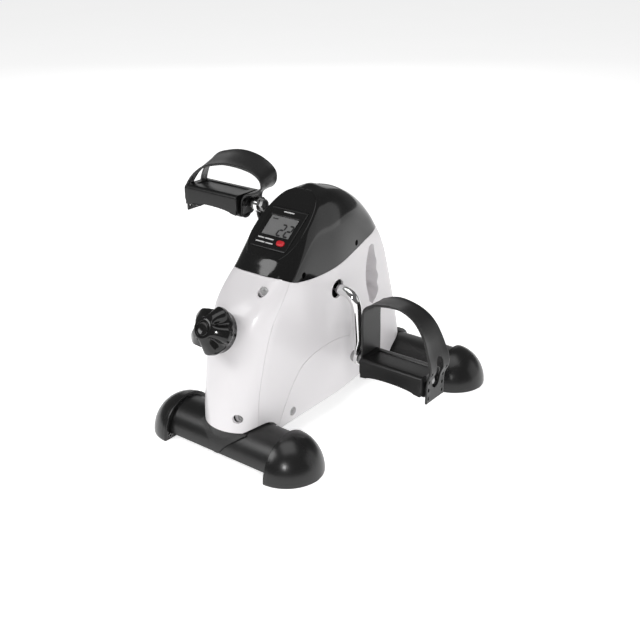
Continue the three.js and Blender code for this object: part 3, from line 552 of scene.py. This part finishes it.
def build_casing():
    shell = carve(casing_skin("shell", 0), facet_cut("facet", 0))
    outer = copy_of(shell, "outer")
    inner = carve(casing_skin("inner", WALL), facet_cut("inner_facet", WALL))
    carve(shell, inner)

    lining = prism("lining", handle_outline(WALL), -70, 70, "x")
    carve(lining, copy_of(outer, "outer_copy"), "INTERSECT")
    carve(shell, lining, "UNION")
    carve(shell, prism("opening", handle_outline(0), -90, 90, "x"))
    bosses_and_recesses(shell, outer)
    bpy.data.objects.remove(outer)
    for y, clear in ((-FEET_SPACING / 2, 2), (FEET_SPACING / 2, 5)):
        carve(shell, prism("tube_way", tube_outline(y, clear), -90, 90, "x"))
    carve(shell, cylinder("crank_hole", CRANK_HOLE, -70, 70, 64, "x", (0, CRANK_Y, CRANK_Z)))
    carve(shell, crease_groove())

    cover = carve(copy_of(shell, "cover"), cover_zone(SEAM_GAP), "INTERSECT")
    carve(shell, cover_zone(0))
    front = carve(copy_of(shell, "front"), panel_zone(0), "INTERSECT")
    carve(front, prism("base", oblong(-300, -90, 0, PANEL_BASE), -110, 110, "x"))
    knob_way = cylinder("knob_way", KNOB_HOLE, -90, -30, 64, "y")
    knob_way.data.transform(knob_matrix())
    carve(front, knob_way)
    carve(shell, panel_zone(SEAM_GAP))
    right = carve(copy_of(shell, "right"), half_zone(SEAM_GAP / 2, 120), "INTERSECT")
    left = carve(shell, half_zone(-120, -SEAM_GAP / 2), "INTERSECT")

    hole = rounded_rectangle(0, DISPLAY_LENGTH / 2, DISPLAY_WIDTH + 0.8, DISPLAY_LENGTH + 0.8, 3.4)
    pocket = prism("pocket", hole, -24, 12, "z")
    pocket.data.transform(display_matrix())
    carve(cover, pocket)
    cover = join([paint(cover, GLOSS), facet_bead(cover)])
    pieces = {"top_cover": cover, "front_panel": front, "side_shell_right": right, "side_shell_left": left}
    for name, piece in pieces.items():
        if piece is not cover:
            paint(piece, WHITE)
        piece.name = name + "_look"
        stands_for(smooth(piece, 28), "base", name)


def facet_bead(cover):
    """A thin raised bead along the edge of the display's flat face."""
    slope = math.radians(FACET_ANGLE)
    normal = Vector((0, -math.sin(slope), math.cos(slope)))
    across = Vector((0, math.cos(slope), math.sin(slope)))
    origin = Vector((0, *FACET_POINT)) * MM
    work = bmesh.new()
    work.from_mesh(cover.data)
    rim = []
    for edge in work.edges:
        if len(edge.link_faces) != 2:
            continue
        if max(abs((v.co - origin).dot(normal)) for v in edge.verts) > 2e-5:
            continue
        flat = [abs(f.normal.dot(normal)) > 0.9995 for f in edge.link_faces]
        middle = sum((v.co for v in edge.verts), Vector()) / 2
        up_face = (middle - origin).dot(across) / MM
        inside = abs(middle.x) / MM < DISPLAY_WIDTH / 2 + 0.6 and -0.6 < up_face < DISPLAY_LENGTH + 0.6
        if sum(flat) == 1 and not inside and middle.z / MM < BEAD_TOP:
            rim.append([v.co.copy() / MM for v in edge.verts])
    work.free()
    points = [(a + b) / 2 for a, b in rim]
    centre = sum(points, Vector()) / len(points)
    ring = sorted((math.atan2((p - centre).dot(across), p.x), tuple(p)) for p in points)
    kept = [Vector(p) for _, p in ring]
    spaced = [kept[0]]
    for p in kept[1:]:
        if (p - spaced[-1]).length > 2.2:
            spaced.append(p)
    line = spline([tuple(p) for p in spaced + [spaced[0]]], 3)[:-1]
    rings = []
    for i, point in enumerate(line):
        tangent = Vector(line[(i + 1) % len(line)] - line[i - 1]).normalized()
        side = tangent.cross(normal).normalized()
        rings.append([tuple(Vector(point) + BEAD_RADIUS * (math.cos(t) * side + math.sin(t) * normal))
                      for t in np.linspace(0, 2 * math.pi, 10, endpoint=False)])
    return paint(loft("bead", [*rings, rings[0]], ends=False), GLOSS)


# ---------------------------------------------------------------- feet

def tube_outline(y, grow):
    """A foot tube's section: a half round with a flat base."""
    r = TUBE_RADIUS + grow
    return [*arc(y, TUBE_BASE, r, r, 0, 180, 48), (y - r, TUBE_BASE - grow), (y + r, TUBE_BASE - grow)]


def build_feet():
    for word, y, span in (("front", -FEET_SPACING / 2, FRONT_SPAN),
                          ("rear", FEET_SPACING / 2, REAR_SPAN)):
        half = span / 2 - CAP_LENGTH + TUBE_IN_CAP
        tube = prism(f"{word}_tube_look", tube_outline(y, 0), -half, half, "x")
        carve(tube, prism("bore", tube_outline(y, -TUBE_WALL), -half - 1, half + 1, "x"))
        stands_for(smooth(paint(tube, FRAME_PAINT), 40), "base", f"{word}_foot_tube")
        cap = build_cap(f"{word}_cap_right_look", y, span)
        other = mirrored(cap, f"{word}_cap_left_look")
        for piece, side in ((cap, "right"), (other, "left")):
            stands_for(smooth(piece, 40), "base", f"{word}_foot_cap_{side}")


def build_cap(name, y, span):
    """A domed end cap: a rolled lip round its mouth, then a quarter of an ellipsoid down to the floor."""
    rim = span / 2 - CAP_LENGTH
    rings = []

    def ring(x, share):
        half, high = CAP_HALF_DEPTH * share, CAP_HEIGHT * share
        points = arc(y, 0.9, half, high - 0.9, 0, 180, 56)
        points += [(y - half + 0.5, 0.25), (y - half + 1.6, 0), (y + half - 1.6, 0),
                   (y + half - 0.5, 0.25)]
        rings.append([(x, a, b) for a, b in points])

    for depth, share in ((10, 0.81), (1.2, 0.83), (0.5, 0.86), (0, 0.9), (0, 0.975), (0.6, 0.995),
                         (1.6, 1.0), (3.0, 0.992)):
        ring(rim + depth, share)
    for turn in np.radians(np.linspace(6, 90, 30)):
        ring(rim + CAP_LENGTH * math.sin(turn), max(0.03, math.cos(turn)))
    return paint(loft(name, rings), CAP)


def tongue(half, start, end):
    """What a saddle covers from the front: half of its outline is given, narrowing downwards."""
    outline = [tuple(p) for p in spline(half, 5)]
    return prism("tongue", outline + [(-x, z) for x, z in outline[::-1]], start, end, "y")


def build_saddles():
    """Grey mouldings between the ends of the casing and the tubes."""
    front_y, rear_y = -FEET_SPACING / 2, FEET_SPACING / 2
    front_top = PANEL_BASE - SADDLE_GAP
    front = prism("front_saddle_look", tube_outline(front_y, FRONT_SLEEVE), -60, 60, "x")
    crescent = arc(0, -146.5, 38, 36, -180, 0, 48)
    carve(front, prism("crescent", crescent, 16, front_top, "z"), "UNION")
    carve(front, tongue(FRONT_TONGUE, -300, front_y), "INTERSECT")
    carve(front, prism("below", oblong(-300, 0, -5, front_top), -60, 60, "x"), "INTERSECT")
    rear = prism("rear_saddle_look", tube_outline(rear_y, REAR_SLEEVE), -60, 60, "x")
    carve(rear, tongue(REAR_TONGUE, rear_y - 10, 300), "INTERSECT")
    for word, y, saddle in (("front", front_y, front), ("rear", rear_y, rear)):
        carve(saddle, prism("tube_way", tube_outline(y, SADDLE_GAP), -70, 70, "x"))
        stands_for(smooth(paint(saddle, SADDLE), 35), "base", f"{word}_saddle")


# ---------------------------------------------------------------- display

def display_matrix():
    """From the display's own frame, with the facet at height 0, to the part's."""
    place = Matrix.Translation(Vector((0, *FACET_POINT)) * MM)
    return place @ Matrix.Rotation(math.radians(FACET_ANGLE), 4, "X")


def rounded_rectangle(x, y, width, height, radius):
    a, b = width / 2 - radius, height / 2 - radius
    points = []
    for quarter, (across, up) in enumerate(((a, b), (-a, b), (-a, -b), (a, -b))):
        points += arc(x + across, y + up, radius, radius, 90 * quarter, 90 * quarter + 90, 6)
    return points


def stacked(name, x, y, layers):
    """A moulding from (width, length, corner radius, height) layers round one middle."""
    return loft(name, [[(a, b, height) for a, b in rounded_rectangle(x, y, width, length, radius)]
                       for width, length, radius, height in layers])


def build_display():
    width, length = DISPLAY_WIDTH, DISPLAY_LENGTH
    housing = stacked("display_look", 0, length / 2, [
        (width, length, 3, -20), (width, length, 3, 0.1), (width - 0.5, length - 0.5, 2.8, 0.7),
        (width - 1.4, length - 1.4, 2.4, DISPLAY_PROUD), (width - 4.0, length - 4.0, 2.0, DISPLAY_PROUD),
        (width - 4.8, length - 4.8, 1.8, DISPLAY_PROUD - 0.5)])
    x, v, wide, long = SCREEN["x"], SCREEN["v"], SCREEN["width"], SCREEN["length"]
    window_way = [(wide - 2, long - 2, 1.0, -19), (wide - 2, long - 2, 1.0, -1.2),
                  (wide + 2.2, long + 2.2, 1.6, 1.5)]
    carve(housing, stacked("window_way", x, v, window_way))
    bx, bv, bw, bl = BUTTON["x"], BUTTON["v"], BUTTON["width"], BUTTON["length"]
    button_way = [(bw + 0.8, bl + 0.8, bl / 2 + 0.3, z) for z in (-19, 3)]
    carve(housing, stacked("button_way", bx, bv, button_way))
    carve(housing, prism("door_way", oblong(-22, 22, 6, 24), -21, -17, "z"))
    stands_for(smooth(paint(housing, BEZEL), 30), "base", "display_housing")

    panel = stacked("lcd_look", x, v, [(wide - 0.4, long - 0.4, 0.6, z) for z in (-3.4, LCD_TOP)])
    marks = [paint(piece, INK) for piece in lcd_segments(x, v)]
    panel = join([paint(panel, LCD), *marks])
    stands_for(smooth(panel, 30), "base", "lcd_panel")

    window = stacked("window_look", x, v, [(wide - 0.8, long - 0.8, 0.8, z) for z in (-0.4, 0.1)])
    stands_for(smooth(paint(window, WINDOW), 30), "base", "display_window")

    # The button is held in by a wider foot below the frame.
    grown = ((3, -2.4), (3, -0.8), (0, -0.8), (0, 1.5), (-0.8, 2.0), (-2.4, 2.2))
    cap = stacked("reset_button_look", bx, bv, [(bw + g, bl + g, (bl + g) / 2, z) for g, z in grown])
    stands_for(smooth(paint(cap, RED), 50), "button", "reset_button")

    # Plain printed bars stand for the labels under and over the screen.
    bars = []
    for row, spans in ((12.2, ((-21, -12), (-10.5, 2))), (6.6, ((-21, -8), (-6.5, 4))),
                       (51.2, ((-7, 8),))):
        for low, high in spans:
            bars.append(paint(prism("bar", oblong(low, high, row, row + 1.5), DISPLAY_PROUD - 0.55,
                                    DISPLAY_PROUD - 0.42, "z"), MARK))
    marks = join(bars)
    marks.name = "display_print"
    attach(marks, "base")
    for name in ("display_look", "lcd_look", "window_look", "reset_button_look", "display_print"):
        bpy.data.objects[name].data.transform(display_matrix())


def lcd_segments(x, v):
    """Two leaning digits, each a 2 built from five straight strokes, and a small indicator bar."""
    strokes = (((0, 1), (1, 1)), ((1, 1), (1, 0.5)), ((0, 0.5), (1, 0.5)), ((0, 0.5), (0, 0)),
               ((0, 0), (1, 0)))
    width, height, thick, lean = 6.4, 15.2, 2.3, 0.12
    base = v - 11.6
    pieces = []
    for left in (x + 0.3, x + 10.6):
        for ends in strokes:
            a, b = (Vector((left + width * along_x + lean * height * up, base + height * up))
                    for along_x, up in ends)
            way = (b - a).normalized()
            a, b = a + way * thick * 0.55, b - way * thick * 0.55
            off = Vector((-way.y, way.x)) * thick / 2
            tip = way * thick * 0.45
            outline = [tuple(p) for p in (a - tip, a - off, b - off, b + tip, b + off, a + off)]
            pieces.append(prism("stroke", outline, LCD_TOP, LCD_TOP + INK_HEIGHT, "z"))
    mark = rounded_rectangle(x - 12.5, v + 9.3, 8, 1.5, 0.5)
    pieces.append(prism("mark", mark, LCD_TOP, LCD_TOP + INK_HEIGHT, "z"))
    return pieces


# ---------------------------------------------------------------- crank, pedals and straps

def arm_end(side):
    """The middle of a crank arm's eye, where the pedal's axle goes through."""
    tilt = math.radians(CRANK_TILT)
    return np.array([side * EYE_X, CRANK_Y + side * CRANK_ARM * math.sin(tilt),
                     CRANK_Z - side * CRANK_ARM * math.cos(tilt)])


def build_crank():
    ends = {side: arm_end(side) for side in (1, -1)}
    corners = {side: np.array([side * EYE_X, CRANK_Y, CRANK_Z], float) for side in (1, -1)}

    def half(side):
        down = (ends[side] - corners[side]) / CRANK_ARM
        inward = np.array([-side, 0, 0], float)
        straight = [corners[side] + down * run for run in np.linspace(CRANK_ARM - 7, BEND, 16)]
        a, b, c = corners[side] + down * BEND, corners[side], corners[side] + inward * BEND
        bend = [(1 - t) ** 2 * a + 2 * t * (1 - t) * b + t ** 2 * c for t in np.linspace(0, 1, 22)[1:-1]]
        return straight + bend + [c]

    bar = sweep("crank_look", half(1) + half(-1)[::-1], BAR / 2, 40)
    # Towards each eye the bar is forged flat and a little wider.
    for vertex in bar.data.vertices:
        side = 1 if vertex.co.x > 0 else -1
        away = np.array(vertex.co) / MM - ends[side]
        down = (ends[side] - corners[side]) / CRANK_ARM
        run = away.dot(down)
        if abs(vertex.co.x) / MM > EYE_X - BAR and run > -26:
            share = smoothstep(run, -26, -9)
            wide = np.cross(down, (1, 0, 0))
            offset = away.dot(wide)
            vertex.co.x = (side * EYE_X + away[0] * (1 - 0.5 * share)) * MM
            vertex.co.y += offset * 0.3 * share * wide[1] * MM
            vertex.co.z += offset * 0.3 * share * wide[2] * MM
    eyes = []
    profile = [(4.3, -3), (9, -3), (9.5, -2.5), (9.5, 2.5), (9, 3), (4.3, 3)]
    turns = np.linspace(0, 2 * math.pi, 48, endpoint=False)
    for x, y, z in ends.values():
        rings = [[(x + h, y + r * math.cos(t), z + r * math.sin(t)) for t in turns] for r, h in profile]
        eyes.append(paint(loft("eye", [*rings, rings[0]], ends=False), CHROME))
    crank = join([paint(bar, CHROME), *eyes])
    stands_for(smooth(crank, 40), "crank_body", "crank")


def hexagon_nut(name, flats, x0, x1):
    """A chamfered nut on the axle's line."""
    corner, chamfer = flats / math.sqrt(3), 0.9
    nut = prism(name, arc(0, 0, corner, corner, 0, 300, 5), x0, x1, "x")
    profile = [(0, x0 - 0.1), (flats / 2 - 0.1, x0 - 0.1), (corner + 0.1, x0 + chamfer),
               (corner + 0.1, x1 - chamfer), (flats / 2 - 0.1, x1 + 0.1), (0, x1 + 0.1)]
    carve(nut, lathe("round", profile, 48, "x"), "INTERSECT")
    carve(nut, cylinder("thread", AXLE_RADIUS + 0.15, x0 - 1, x1 + 1, 32))
    return paint(nut, ZINC)


def build_axles():
    r = AXLE_RADIUS
    collar = [(7.6, 72.3), (8, 72.8), (8, 76.1), (7.6, 76.5), (6, 78.8), (6, 81.3), (5.8, 81.5)]
    profile = [(0, 60.6), (r - 0.7, 60.6), (r, 61.3), (r, 72.3), *collar, (r, 81.5), (r, AXLE_END - 0.8),
               (r - 0.7, AXLE_END), (0, AXLE_END)]
    axle = paint(lathe("axle_right_look", profile, 40, "x"), ZINC)
    inner = hexagon_nut("crank_nut_right_look", CRANK_NUT, 60, 65.7)
    outer = hexagon_nut("end_nut_right_look", END_NUT, PEDAL_OUT - 3.6, PEDAL_OUT + 0.6)
    for piece, node in ((axle, "pedal_axle"), (inner, "crank_nut"), (outer, "axle_end_nut")):
        left = mirrored(piece, piece.name.replace("right", "left"))
        for made, side, word in ((piece, 1, "right"), (left, -1, "left")):
            _, y, z = arm_end(side)
            made.data.transform(Matrix.Translation(Vector((0, y, z)) * MM))
            stands_for(smooth(made, 35), "crank_body", f"{node}_{word}")


def pedal_body():
    """One pedal, about its axle's middle line: a trough-shaped moulding with deeper rounded ends."""
    top, front, back = PEDAL_TOP, PEDAL_FRONT, PEDAL_BACK
    boss, bore = 8, AXLE_RADIUS + 0.3
    front_round = arc(front + 5, top - 5, 5, 5, 180, 90, 6)
    back_round = arc(back - 4, top - 4, 4, 4, 90, 0, 6)
    tread = [(front + 13, top), (front + 14.2, top - 1.3), (back - 9, top - 1.3), (back - 8, top)]
    middle = [*front_round, *tread, *back_round, (back, -15), (front, -15)]
    bar = prism("bar", middle, PEDAL_IN + 1, PEDAL_OUT - 1, "x")
    low = [(PEDAL_IN, -12.5), (PEDAL_IN + 9, -11.5), *arc(129, -12, 34, 4.5, 180, 0, 24)[1:-1],
           (PEDAL_OUT - 9, -11.5), (PEDAL_OUT, -12.5)]
    carve(bar, prism("arch", [(PEDAL_IN - 5, -30), *low, (PEDAL_OUT + 5, -30)], -60, 60, "y"))
    trough = oblong(front + 3, back - 3, -30, top - 4.4)
    carve(bar, prism("trough", trough, PEDAL_IN + 5, PEDAL_OUT - 7, "x"))
    chin = arc(-5, -13.5, 8, 5.5, -20, -160, 12)
    end = [*front_round, *back_round, (back, 2), (back - 1.2, -5), (6, -15), *chin, (-16, -15.5),
           (front + 2, -11), (front, -5)]
    for x0, x1 in ((PEDAL_IN, PEDAL_IN + 6), (PEDAL_OUT - 8, PEDAL_OUT)):
        carve(bar, prism("end", end, x0, x1, "x"), "UNION")
    carve(bar, cylinder("boss", boss, PEDAL_IN + 2, PEDAL_OUT - 3, 40), "UNION")
    profile = [(0, PEDAL_IN - 2), (bore, PEDAL_IN - 2), (bore, PEDAL_OUT - 4), (boss, PEDAL_OUT - 4),
               (boss, PEDAL_OUT + 2), (0, PEDAL_OUT + 2)]
    carve(bar, lathe("bore", profile, 40, "x"))
    # The inner end plate is dished, which leaves a light rim round it.
    dish = [(-12 + (y + 12) * 0.84, (z + 3) * 0.84 - 3) for y, z in end]
    carve(bar, prism("dish", dish, PEDAL_IN - 1, PEDAL_IN + 1.2, "x"))
    return bar


# The straps' front and back edges, as (x, z) from the axle. Both edges share the two straight ends.
STRAP_TAB = [(175.2, 0), (175.2, -23)]
RIGHT_FRONT = [(84.1, -12), (84.1, 8), (84.4, 34), (84.0, 60), (86.0, 72.5), (96, 79.5), (110, 82.5),
               (122, 84), (134, 84.5), (146, 81), (156, 75), (164, 65.5), (170, 54), (174.5, 39),
               (178.2, 27), (179.3, 17), (176.8, 8), *STRAP_TAB]
RIGHT_BACK = [(84.1, -12), (84.1, 8), (84.1, 34), (83.8, 60), (87, 72.5), (95, 77.5), (106, 82),
              (118, 83.4), (132.5, 81), (144, 77), (154, 71), (162, 63), (168.5, 53.5), (175, 41),
              (180, 30), (181.2, 18), (177, 8), *STRAP_TAB]
LEFT_FRONT = [(84.1, -12), (84.1, 0), (82.0, 8), (76, 13.5), (63, 17.5), (53.6, 23.5), (54, 31),
              (59, 36.6), (69, 41.5), (83.5, 44.4), (98, 45.8), (112, 45.8), (124, 43.5), (137, 40),
              (149, 35), (161.5, 26), (171, 16), (175.6, 8), *STRAP_TAB]
LEFT_BACK = [(84.1, -12), (84.1, 0), (82.0, 9), (75, 15), (65, 20), (59, 27), (57.4, 36), (61, 43),
             (70, 49), (84, 54), (102, 56.2), (120, 55.2), (138, 51.2), (152, 46.4), (163, 38),
             (170, 28), (174.6, 17), (176.5, 8), *STRAP_TAB]
STRAP_LOW, STRAP_HIGH, STRAP_THICK = -17, 21, 2.6
PEG_PLACE = (0, -12, 2)
# The band's upper surface from its front edge to its back edge, as (share of width, share of thickness).
STRAP_TOP = [(0.0, 0.0), (0.0, 0.32), (0.012, 0.5), (0.05, 0.5), (0.075, 0.38), (0.3, 0.38), (0.5, 0.38),
             (0.7, 0.38), (0.925, 0.38), (0.95, 0.5), (0.988, 0.5), (1.0, 0.32), (1.0, 0.0)]


def strap_piece(name, front_edge, back_edge):
    """A band between its front and back edge lines, with a thin raised hem along both."""
    a, b = spline(front_edge, 6), spline(back_edge, 6)
    middle = (a + b) / 2
    last = len(a) - 1
    outline = STRAP_TOP + [(s, -0.5 if 0.012 <= s <= 0.988 else -h) for s, h in STRAP_TOP[::-1][1:-1]]
    rings = []
    for i in range(last + 1):
        way = middle[min(i + 1, last)] - middle[max(i - 1, 0)]
        way /= np.linalg.norm(way)
        normal = np.array([way[1], -way[0]])
        waist = waist_of(i / last)
        ring = []
        for share, height in outline:
            t = 0.5 + (share - 0.5) * waist
            line = a[i] * (1 - t) + b[i] * t
            y = STRAP_LOW + (STRAP_HIGH - STRAP_LOW) * t
            spot = line - normal * height * STRAP_THICK
            ring.append((spot[0], y, spot[1]))
        rings.append(ring)
    return loft(name, rings)


def waist_of(share):
    """How wide the band is at each share of its length, against its full width."""
    return 1 - 0.14 * math.sin(math.pi * min(1, max(0, (share - 0.12) / 0.5))) ** 2


def tab_holes(strap):
    """The wide keyhole and the rows of small holes in the outer tab."""
    keyhole = [*arc(2, 3, 8.6, 11, 180, 360, 20), *arc(2, 24, 6.4, 9, 0, 180, 16)]
    carve(strap, prism("keyhole", keyhole, 150, 190, "x"))
    for y in (-12.8, 16.8):
        for z in (-17, -6.5, 4, 14.5):
            carve(strap, prism("hole", arc(y, z, 1.7, 2.6, 0, 345, 15), 150, 190, "x"))
    carve(strap, cylinder("peg_hole", 2, 70, 90, 24, "x", PEG_PLACE))
    carve(strap, cylinder("axle_hole", 5, 70, 90, 32))
    return strap


def build_pedals():
    right = rounded(paint(pedal_body(), PEDAL), 0.8, 38)
    right.name = "pedal_right_look"
    left = mirrored(right, "pedal_left_look")
    head = [(0, 79.4), (3.6, 79.4), (4.5, 80.2), (4.5, 81.9), (4.0, 82.4)]
    peg = lathe("strap_peg_right_look", [*head, (1.6, 82.4), (1.6, 91), (0, 91)], 28, "x", PEG_PLACE)
    smooth(paint(peg, PEDAL), 35)
    right_strap = tab_holes(strap_piece("strap_right_look", RIGHT_FRONT, RIGHT_BACK))
    left_peg = mirrored(peg, "strap_peg_left_look")
    left_strap = flip(tab_holes(strap_piece("strap_left_look", LEFT_FRONT, LEFT_BACK)))
    pieces = {"right": (right, peg, right_strap), "left": (left, left_peg, left_strap)}
    for side, word in ((1, "right"), (-1, "left")):
        _, y, z = arm_end(side)
        body, peg, strap = pieces[word]
        smooth(paint(strap, RUBBER), 50)
        for piece, node, slot in ((body, "pedal", "pedal_black"), (peg, "strap_peg", "nylon_black"),
                                  (strap, "strap", "strap_rubber")):
            piece.data.transform(Matrix.Translation(Vector((0, y, z)) * MM))
            stands_for(piece, f"{word}_pedal", f"{node}_{word}")


# ---------------------------------------------------------------- tension knob

def knob_matrix():
    """From the knob's own frame, with its axis along Y and its face at 0, to the part's."""
    place = Matrix.Translation(Vector(KNOB_FACE) * MM)
    return place @ Matrix.Rotation(math.radians(180 - KNOB_TILT), 4, "X")


def knob_radius(turn, depth):
    """The knob's outline: lobes that spread quickly from the hub, with scoops between them."""
    rim, narrowness = 1.2, 2.2
    if depth <= rim:
        return KNOB_HUB - 1.7 + 1.7 * depth / rim
    lobe = KNOB_HUB + (KNOB_RADIUS - KNOB_HUB) * min(1, (depth - rim) / 12) ** 0.75
    lobe -= (KNOB_RADIUS - KNOB_FLANGE) * smoothstep(depth, 18, 26)
    scoop = KNOB_HUB + (KNOB_FLANGE - KNOB_HUB) * smoothstep(depth, 5, 23)
    wave = 0.5 - 0.5 * math.cos(KNOB_LOBES * (turn - math.radians(KNOB_FIRST_LOBE)))
    return lobe - max(0, lobe - scoop) * wave ** narrowness


def build_knob():
    turns = np.linspace(0, 2 * math.pi, 200, endpoint=False)
    rings = []

    def ring(depth, radius_at):
        rings.append([(radius_at(t) * math.cos(t), -depth, -radius_at(t) * math.sin(t)) for t in turns])

    for depth, radius in ((6, 8.6), (0.3, 8.6), (0, 8.9), (0, 10.6)):
        ring(depth, lambda t: radius)
    for depth in [0.5, 1.2, *np.linspace(1.8, 26, 40)]:
        ring(depth, lambda t: knob_radius(t, depth))
    for depth, radius in ((KNOB_BACK - 0.6, KNOB_FLANGE), (KNOB_BACK, KNOB_FLANGE - 0.6), (KNOB_BACK, 11),
                          (KNOB_BACK + 0.6, 9.5), (39.5, 9.5)):
        ring(depth, lambda t: radius)
    knob = loft("knob_look", rings)
    profile = [(0, -1.2), (8.2, -1.2), (8.2, -0.3), (7.8, 0.05), (6.8, 0.1), (6.2, -0.25), (0, -0.3)]
    cap = lathe("knob_cap_look", profile, 64, "y")
    for piece, node in ((knob, "tension_knob"), (cap, "knob_cap")):
        piece.data.transform(knob_matrix())
        stands_for(smooth(paint(piece, KNOB_GLOSS), 32), "knob", node)


def build_screws():
    """Screw heads with a cross slot, and their shanks into the bosses."""
    names = ["panel_screw_upper", "panel_screw_lower", "side_screw", "cover_screw_front",
             "cover_screw_rear"]
    for name, screw in zip(names, SCREWS):
        x, y, z, axis, recess, both = screw
        for side, word in ((1, "_right"), (-1, "_left")) if both else ((1, ""),):
            radius = recess / 2 - 0.7
            head = settle(rounded(rod("head", screw, radius, 2.6, 4.7, side), 0.5, 40))
            size = radius * 0.62
            for wide, tall in ((size, 0.55), (0.55, size)):
                centre, ends = x, (y - 1, y + 3.6)
                if axis == "x":
                    centre, ends = y, sorted((side * (x - 3.6), side * (x + 1)))
                bar = oblong(centre - wide, centre + wide, z - tall, z + tall)
                carve(head, prism("slot", bar, *ends, axis))
            shank = rod("shank", screw, 1.6, 4.6, 15, side)
            piece = join([paint(head, HEAD), paint(shank, HEAD)])
            piece.name = f"{name}{word}_look"
            stands_for(smooth(piece, 40), "base", f"{name}{word}")


build_casing()
build_feet()
build_saddles()
build_display()
build_crank()
build_axles()
build_pedals()
build_knob()
build_screws()


# ---------------------------------------------------------------- stage, light and camera

floor_mesh = bpy.data.meshes.new("floor")
floor_mesh.from_pydata([(-8, -8, 0), (8, -8, 0), (8, 8, 0), (-8, 8, 0)], [], [(0, 1, 2, 3)])
floor = bpy.data.objects.new("floor", floor_mesh)
bpy.context.collection.objects.link(floor)
ground = bpy.data.materials.new("floor")
ground.use_nodes = True
ground_shader = ground.node_tree.nodes["Principled BSDF"]
ground_shader.inputs["Roughness"].default_value = 0.9
ground_shader.inputs["Specular IOR Level"].default_value = 0.1
ground_shader.inputs["Emission Color"].default_value = (1, 1, 1, 1)
ground_shader.inputs["Emission Strength"].default_value = 0.7
ground.node_tree.links.new(ramp(ground.node_tree, noise(ground.node_tree, 3), grey(0.93), grey(0.95)),
                           ground_shader.inputs["Base Color"])
floor.data.materials.append(ground)

world = bpy.data.worlds.new("studio")
bpy.context.scene.world = world
world.use_nodes = True
world.node_tree.nodes["Background"].inputs["Color"].default_value = (1, 1, 1, 1)
world.node_tree.nodes["Background"].inputs["Strength"].default_value = 0.16
bpy.context.scene.view_settings.view_transform = "Standard"


def soft_light(name, place, size, power, glossy=True, diffuse=True):
    """A rectangular lamp aimed at the middle of the machine. Lengths are metres here."""
    lamp = bpy.data.lights.new(name, "AREA")
    lamp.shape = "RECTANGLE"
    lamp.size, lamp.size_y = size
    lamp.energy = power
    made = bpy.data.objects.new(name, lamp)
    made.location = place
    made.rotation_euler = (Vector((0, 0, 0.15)) - Vector(place)).to_track_quat("-Z", "Y").to_euler()
    made.visible_glossy = glossy
    made.visible_diffuse = diffuse
    bpy.context.collection.objects.link(made)


soft_light("key", (-0.9, -1.5, 1.5), (1.1, 0.9), 15)
soft_light("fill", (1.5, -1.3, 0.9), (0.9, 0.9), 13.5, glossy=False)
soft_light("side", (1.9, 1.5, 0.7), (1.8, 1.4), 5.5)
soft_light("back", (-1.5, 1.8, 0.9), (1.6, 0.9), 3.5)
soft_light("top", (0.3, -0.2, 2.2), (1.6, 1.6), 14)
soft_light("sparkle", (0.75, -1.3, 0.7), (0.16, 0.16), 4.5, diffuse=False)

turn, rise, roll = (math.radians(angle) for angle in (37.612, 24.005, -0.249))
back = Vector((math.sin(turn) * math.cos(rise), -math.cos(turn) * math.cos(rise), math.sin(rise)))
level = Vector((math.cos(turn), math.sin(turn), 0))
above = back.cross(level)
right = math.cos(roll) * level + math.sin(roll) * above
up = -math.sin(roll) * level + math.cos(roll) * above
eye = Vector((687.3, -882.8, 608.0)) * MM
camera_data = bpy.data.cameras.new("camera")
camera_data.lens = 55.18
camera_data.sensor_width = 36
camera = bpy.data.objects.new("camera", camera_data)
camera.matrix_world = Matrix(((right.x, up.x, back.x, eye.x), (right.y, up.y, back.y, eye.y),
                              (right.z, up.z, back.z, eye.z), (0, 0, 0, 1)))
bpy.context.collection.objects.link(camera)
bpy.context.scene.camera = camera
